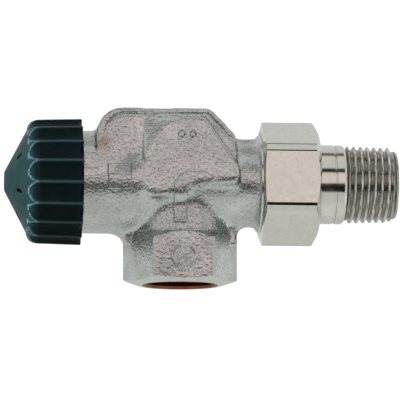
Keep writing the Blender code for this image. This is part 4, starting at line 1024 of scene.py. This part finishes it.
class VALVE_OT_tailpiece(bpy.types.Operator):
    """Tailpiece with its groove, pipe thread and the lugs inside its mouth."""
    bl_idname = "valve.tailpiece"
    bl_label = "Tailpiece"

    def execute(self, context):
        sizes = context.scene.valve_union
        shank, bore, end = 10.65, 7.9, TAIL_HIGH.x
        start, crest = TAIL_THREAD_X, TAIL_THREAD_R
        profile = [
            (TAIL_LOW.x, bore), (TAIL_LOW.x, 9.0), (31.3, 10.6), (31.3, 12.6), (31.5, 12.8), (33.4, 12.8),
            (33.6, 12.6), (33.6, shank), (40.9, shank), (41.05, shank - 0.3), (41.35, shank - 0.3),
            (41.5, shank), (start - 0.7, shank), (start - 0.1, shank - 0.5)]
        profile += [(x, crest) for x in rows(start, end - 0.9, 78)]
        profile += [(end - 0.6, crest - 1.3), (end, crest - 1.7), (end, bore + 0.4), (end - 0.4, bore)]
        tail = turned("threaded_tailpiece", profile, 192)
        cut_thread(tail, start, end - 0.9, UNION_PITCH, crest, sizes.thread_depth / MM, TAIL_TAPER,
                   TAIL_NOTCHES, sizes.notch_depth / MM)
        combine(tail, tail_lugs(bore, end), "UNION")
        shade(tail, 32.0)
        # The thread's roots take the nickel at 0.62 of its brightness: painted shade down in the thread.
        polished = tuple(context.scene.valve_finishes.polished)
        dress(tail, turned_metal("turned_nickel_plate", polished, 0.14, 0.25, 0.02),
              turned_metal("oiled_thread_root", tint(polished, 0.62), 0.22, 0.25, 0.02))
        # Faces sunk into the thread take the painted shade.
        for face in tail.data.polygons:
            x, y, z = (value / MM for value in face.center)
            sunk = crest - (x - start) * TAIL_TAPER - math.hypot(y, z - AXIS_Z)
            face.material_index = int(x > start - 0.2 and 0.3 < sunk < 1.6)
        place_piece(tail, "tail", "threaded_nickel", "tailpiece")
        return {"FINISHED"}


def tail_lugs(bore, end):
    """Two ribs inside the mouth that a stepped key drives."""
    lugs = []
    for side in (-1.0, 1.0):
        bpy.ops.mesh.primitive_cube_add(size=1.0)
        lug = bpy.context.object
        edit_all(lug)
        bpy.ops.transform.resize(value=(6.0 * MM, 2.4 * MM, 1.6 * MM))
        bpy.ops.transform.translate(value=((end - 5.0) * MM, 0.0, (AXIS_Z + side * (bore - 0.2)) * MM))
        leave_edit()
        bevel_edges(lug, lambda e: True, 0.2 * MM, 2)
        lugs.append(lug)
    return joined("lugs", *lugs)


# Insert -------------------------------------------------------------------------------

HOUSING_FLATS = 19.0
GLAND_FLATS = 8.0


class VALVE_OT_insert(bpy.types.Operator):
    """Insert housing, gland screw and pressure pin, which show when the cap is off."""
    bl_idname = "valve.insert"
    bl_label = "Insert"

    def execute(self, context):
        finishes = context.scene.valve_finishes
        brass = turned_metal("turned_brass", tuple(finishes.brass), 0.24, 0.3, 0.03)
        steel = turned_metal("ground_stainless", tuple(finishes.steel), 0.18, 0.2, 0.01)
        place_piece(insert_housing(brass), "casting", "housing_brass", "insert_housing")
        place_piece(gland_screw(brass), "casting", "gland_brass", "gland_screw")
        place_piece(pressure_pin(steel), "spindle_assembly", "stainless", "pressure_pin")
        for name in ("guide_bush", "disc_holder", "disc_washer", "disc_nut"):
            dress(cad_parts[name], brass)
        for name in ("spindle", "gland_washer", "retaining_clip", "spring_retainer"):
            dress(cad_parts[name], steel)
        return {"FINISHED"}


def insert_housing(brass):
    low, high = HOUSING_LOW.x, HOUSING_HIGH.x
    hex_end = low + 5.0
    housing = turned("turned_insert_housing", [
        (low, 4.3), (low, 9.6), (low + 0.7, 11.0), (hex_end - 0.3, 11.0), (hex_end, 11.6), (-27.8, 11.6),
        (-27.8, 9.3), (-21.6, 9.3), (-21.0, 8.7), (-21.0, 8.3), (high, 8.3), (high, 6.4), (-26.2, 6.4),
        (-26.2, 2.8), (low + 4.0, 2.8), (low + 4.0, 4.3)], 72)
    bar = hexagon_bar("flats", HOUSING_FLATS, low - 2.0, hex_end, "X")
    rest = turned("rest", [
        (hex_end - 0.3, 0.0), (hex_end - 0.3, 9.5), (hex_end + 0.8, 11.9), (high + 2.0, 11.9),
        (high + 2.0, 0.0)], 72)
    combine(bar, rest, "UNION")
    combine(housing, bar, "INTERSECT")
    shade(housing, 30.0)
    dress(housing, brass)
    return housing


def gland_screw(brass):
    low, high = (box.x for box in box_mm("gland_screw"))
    face = HOUSING_LOW.x - GAP
    screw = turned("turned_gland_screw", [
        (low, 2.0), (low + 0.2, 1.8), (high - 1.7, 1.8), (high - 1.7, 3.1), (high, 3.1), (high, 4.0),
        (face, 4.0), (face, 4.62), (low + 0.3, 4.62), (low, 4.1)], 48)
    bar = hexagon_bar("flats", GLAND_FLATS, low - 1.0, high + 1.0, "X")
    combine(screw, bar, "INTERSECT")
    shade(screw, 30.0)
    dress(screw, brass)
    return screw


def pressure_pin(steel):
    low, high = (box.x for box in box_mm("pressure_pin"))
    pin = turned("ground_pressure_pin", [
        (low, 0.0), (low, 0.7), *arc((low + 0.6, 0.9), 0.6, 180.0, 90.0, 6), (high - 0.9, 1.5),
        (high - 0.9, 2.2), (high - 0.8, 2.3), (high, 2.3), (high, 0.0)], 48)
    shade(pin, 30.0)
    dress(pin, steel)
    return pin


class VALVE_OT_spring(bpy.types.Operator):
    """Return spring, built as a fixed coil; the real spring shortens as the spindle is pressed in."""
    bl_idname = "valve.spring"
    bl_label = "Return spring"

    def execute(self, context):
        low, high = SPRING_LOW.x, SPRING_HIGH.x
        wire, mean, turns = 0.4, 4.45, 3.5
        bpy.ops.mesh.primitive_circle_add(vertices=10, radius=wire * MM)
        spring = bpy.context.object
        spring.name = "wound_return_spring"
        edit_all(spring)
        bpy.ops.transform.rotate(value=math.radians(90.0), orient_axis="X", center_override=(0, 0, 0))
        bpy.ops.transform.translate(value=((low + wire) * MM, 0.0, mean * MM))
        leave_edit()
        pitch = (high - low - 2.0 * wire) / turns
        modify(spring, "SCREW", axis="X", angle=2.0 * math.pi, screw_offset=pitch * MM * turns / 4.0,
               iterations=4, steps=32, render_steps=32)
        spring.data.transform(Matrix.Translation((0.0, 0.0, AXIS_Z * MM)))
        edit_all(spring)
        bpy.ops.mesh.remove_doubles(threshold=0.001 * MM)
        bpy.ops.mesh.select_all(action="DESELECT")
        bpy.ops.mesh.select_non_manifold()
        bpy.ops.mesh.edge_face_add()
        bpy.ops.mesh.select_all(action="SELECT")
        bpy.ops.mesh.normals_make_consistent(inside=False)
        leave_edit()
        shade(spring, 50.0)
        dress(spring, turned_metal("drawn_spring_steel", tuple(context.scene.valve_finishes.steel),
                                   0.26, 0.4, 0.01))
        place_piece(spring, "casting", "spring_steel", "return_spring")
        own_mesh(spring)
        return {"FINISHED"}


class VALVE_OT_seals(bpy.types.Operator):
    """Rubber seals and the thrust pad of the cap."""
    bl_idname = "valve.seals"
    bl_label = "Seals and pad"

    def execute(self, context):
        finishes = context.scene.valve_finishes
        rubber = moulded_rubber(tuple(finishes.rubber))
        for node_name, slot in (("insert_o_ring", "insert_rubber"), ("gland_o_ring", "gland_rubber"),
                                ("spindle_o_ring", "spindle_rubber")):
            ring = o_ring(node_name)
            dress(ring, rubber)
            place_piece(ring, "casting", slot, node_name)
        dress(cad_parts["seal_disc"], rubber)
        dress(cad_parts["thrust_pad"], moulded_plastic("moulded_acetal", linear("#D9D5C8"), 0.4))
        return {"FINISHED"}


def o_ring(node_name):
    """A moulded ring with the fine flash of its parting line, in the place of a CAD ring."""
    low, high = box_mm(node_name)
    section = (high.x - low.x) / 2.0
    outer = (high.y - low.y) / 2.0
    station, flash = (low.x + high.x) / 2.0, 0.04
    centre = (station, outer - section)
    ring = turned(f"moulded_{node_name}", [
        (station, outer), *arc(centre, section - flash, 96.0, 264.0, 8),
        (station, outer - 2.0 * section), *arc(centre, section - flash, 276.0, 444.0, 8)], 64)
    shade(ring, 60.0)
    return ring


# Stage --------------------------------------------------------------------------------

CAMERA_AZIMUTH = math.radians(-5.0)
CAMERA_ELEVATION = math.radians(-7.0)
CAMERA_DISTANCE = 1.2
VIEW_WIDTH = 0.1074
VIEW_CENTRE = (0.0054, 0.0, 0.0231)
FLOOR_Z = -0.2
CARD_DISTANCE = 0.5
CARD_HALF_LENGTH = 0.9
SENSOR_MM = 36.0
# A dark card beside the valve shades what faces the cap's side.
FLAG_CORNERS = ((-0.55, -0.7, -0.15), (-0.55, 0.1, -0.15), (-0.55, 0.1, 0.0), (-0.55, -0.7, 0.0))


def reflector(name, corners, value, strength=1.0):
    """A glowing card of the stage that only reflections see."""
    piece = start_point(name, corners[0])
    draw_line(corners)
    bpy.ops.mesh.select_all(action="SELECT")
    bpy.ops.mesh.edge_face_add()
    leave_edit()
    material = bpy.data.materials.new(name)
    material.use_nodes = True
    material.node_tree.nodes.clear()
    glow = node(material, "ShaderNodeEmission", {"Color": (*value, 1.0), "Strength": strength})
    node(material, "ShaderNodeOutputMaterial", {"Surface": glow.outputs["Emission"]})
    dress(piece, material)
    piece.visible_camera = False
    piece.visible_diffuse = False
    piece.visible_shadow = False


def card(name, low_deg, high_deg, value, strength=1.0):
    """A long reflector between two elevations seen from the valve.

    Elevations start at the horizon in front of the valve and run over the top to the back.
    """
    corners = []
    for angle in (low_deg, high_deg):
        turn = math.radians(angle)
        y, z = -CARD_DISTANCE * math.cos(turn), AXIS_Z * MM + CARD_DISTANCE * math.sin(turn)
        corners += [(-CARD_HALF_LENGTH, y, z), (CARD_HALF_LENGTH, y, z)]
    reflector(name, [corners[0], corners[1], corners[3], corners[2]], value, strength)


def pale_floor():
    """Floor of matt grey-white board: no highlight, and a soft even shade under the valve."""
    bpy.ops.mesh.primitive_plane_add(size=8.0, location=(0.0, 0.0, FLOOR_Z))
    floor = bpy.context.object
    floor.name = "floor"
    material, shader, place = finish("pale_matt_board")
    board = node(material, "ShaderNodeTexNoise", {"Vector": place, "Scale": 30.0,
                                                  "Detail": 3.0}).outputs["Fac"]
    shown = ramp(material, board, [(0.3, linear("#E2E3E1")), (0.7, linear("#E8E8E6"))])
    connect(material, shown, shader.inputs["Base Color"])
    shader.inputs["Roughness"].default_value = 0.9
    dress(floor, material)


def soft_world():
    """White backdrop for the camera and an even, slightly greenish room for the light."""
    world = bpy.data.worlds.new("studio")
    bpy.context.scene.world = world
    world.use_nodes = True
    world.node_tree.nodes.clear()
    room = node(world, "ShaderNodeBackground", {"Color": (*linear("#E9ECEA"), 1.0), "Strength": 0.87})
    white = node(world, "ShaderNodeBackground", {"Color": (1.0, 1.0, 1.0, 1.0), "Strength": 1.1})
    path = node(world, "ShaderNodeLightPath", {})
    both = node(world, "ShaderNodeMixShader", {0: path.outputs["Is Camera Ray"], 1: room.outputs[0],
                                               2: white.outputs[0]})
    node(world, "ShaderNodeOutputWorld", {"Surface": both.outputs[0]})


def area_light(name, place, size, power, value, spread=180.0):
    light = bpy.data.lights.new(name, "AREA")
    light.shape = "RECTANGLE"
    light.size, light.size_y = size
    light.energy = power
    light.color = value
    light.spread = math.radians(spread)
    lamp = bpy.data.objects.new(name, light)
    bpy.context.scene.collection.objects.link(lamp)
    lamp.location = place
    aim = Vector((0.0, 0.0, AXIS_Z * MM)) - Vector(place)
    lamp.rotation_euler = aim.to_track_quat("-Z", "Y").to_euler()
    lamp.visible_glossy = False
    lamp.visible_camera = False


class VALVE_OT_stage(bpy.types.Operator):
    """Floor, soft light and camera."""
    bl_idname = "valve.stage"
    bl_label = "Stage"

    def execute(self, context):
        pale_floor()
        soft_world()
        card("dark_flag_low", -38.0, -3.0, linear("#181A1A"))
        card("pink_card", -3.0, 27.0, linear("#FFF4F0"), 0.86)
        card("dark_line", 29.0, 41.0, linear("#121313"))
        card("tan_line", 85.0, 98.0, linear("#6A6154"))
        reflector("left_flag", FLAG_CORNERS, linear("#747876"))
        area_light("key", (-0.2, -0.5, 0.8), (0.6, 0.6), 2.0, (1.0, 0.98, 0.96))
        area_light("cap_light", (-0.9, -0.05, 0.06), (0.2, 0.2), 3.6, (1.0, 1.0, 1.0), 20.0)
        camera = bpy.data.objects.new("camera", bpy.data.cameras.new("camera"))
        context.scene.collection.objects.link(camera)
        back = Vector((math.sin(CAMERA_AZIMUTH) * math.cos(CAMERA_ELEVATION),
                       -math.cos(CAMERA_AZIMUTH) * math.cos(CAMERA_ELEVATION), math.sin(CAMERA_ELEVATION)))
        camera.location = Vector(VIEW_CENTRE) + back * CAMERA_DISTANCE
        camera.rotation_euler = (-back).to_track_quat("-Z", "Y").to_euler()
        camera.data.sensor_width = SENSOR_MM
        camera.data.lens = SENSOR_MM * CAMERA_DISTANCE / VIEW_WIDTH
        camera.data.clip_start = 0.05
        camera.data.clip_end = 20.0
        context.scene.camera = camera
        context.scene.view_settings.view_transform = "Standard"
        return {"FINISHED"}


class VALVE_PT_panel(bpy.types.Panel):
    """Lists the pieces that can be built."""
    bl_label = "Radiator valve"
    bl_idname = "VALVE_PT_panel"
    bl_space_type = "VIEW_3D"
    bl_region_type = "UI"
    bl_category = "Valve"

    def draw(self, context):
        for operator in OPERATORS:
            self.layout.operator(operator.bl_idname)


GROUPS = {"valve_casting": CastingSizes, "valve_cap": CapSizes, "valve_union": UnionSizes,
          "valve_finishes": Finishes}
OPERATORS = (VALVE_OT_stage, VALVE_OT_casting, VALVE_OT_cap, VALVE_OT_union_nut, VALVE_OT_tailpiece,
             VALVE_OT_insert, VALVE_OT_spring, VALVE_OT_seals)


def register():
    for kind in (*GROUPS.values(), *OPERATORS, VALVE_PT_panel):
        bpy.utils.register_class(kind)
    for name, group in GROUPS.items():
        setattr(bpy.types.Scene, name, PointerProperty(type=group))


def unregister():
    for name in GROUPS:
        delattr(bpy.types.Scene, name)
    for kind in reversed((*GROUPS.values(), *OPERATORS, VALVE_PT_panel)):
        bpy.utils.unregister_class(kind)


def main():
    register()
    bpy.ops.valve.stage()
    bpy.ops.valve.casting()
    bpy.ops.valve.cap()
    bpy.ops.valve.union_nut()
    bpy.ops.valve.tailpiece()
    bpy.ops.valve.insert()
    bpy.ops.valve.spring()
    bpy.ops.valve.seals()


if __name__ == "__main__":
    main()
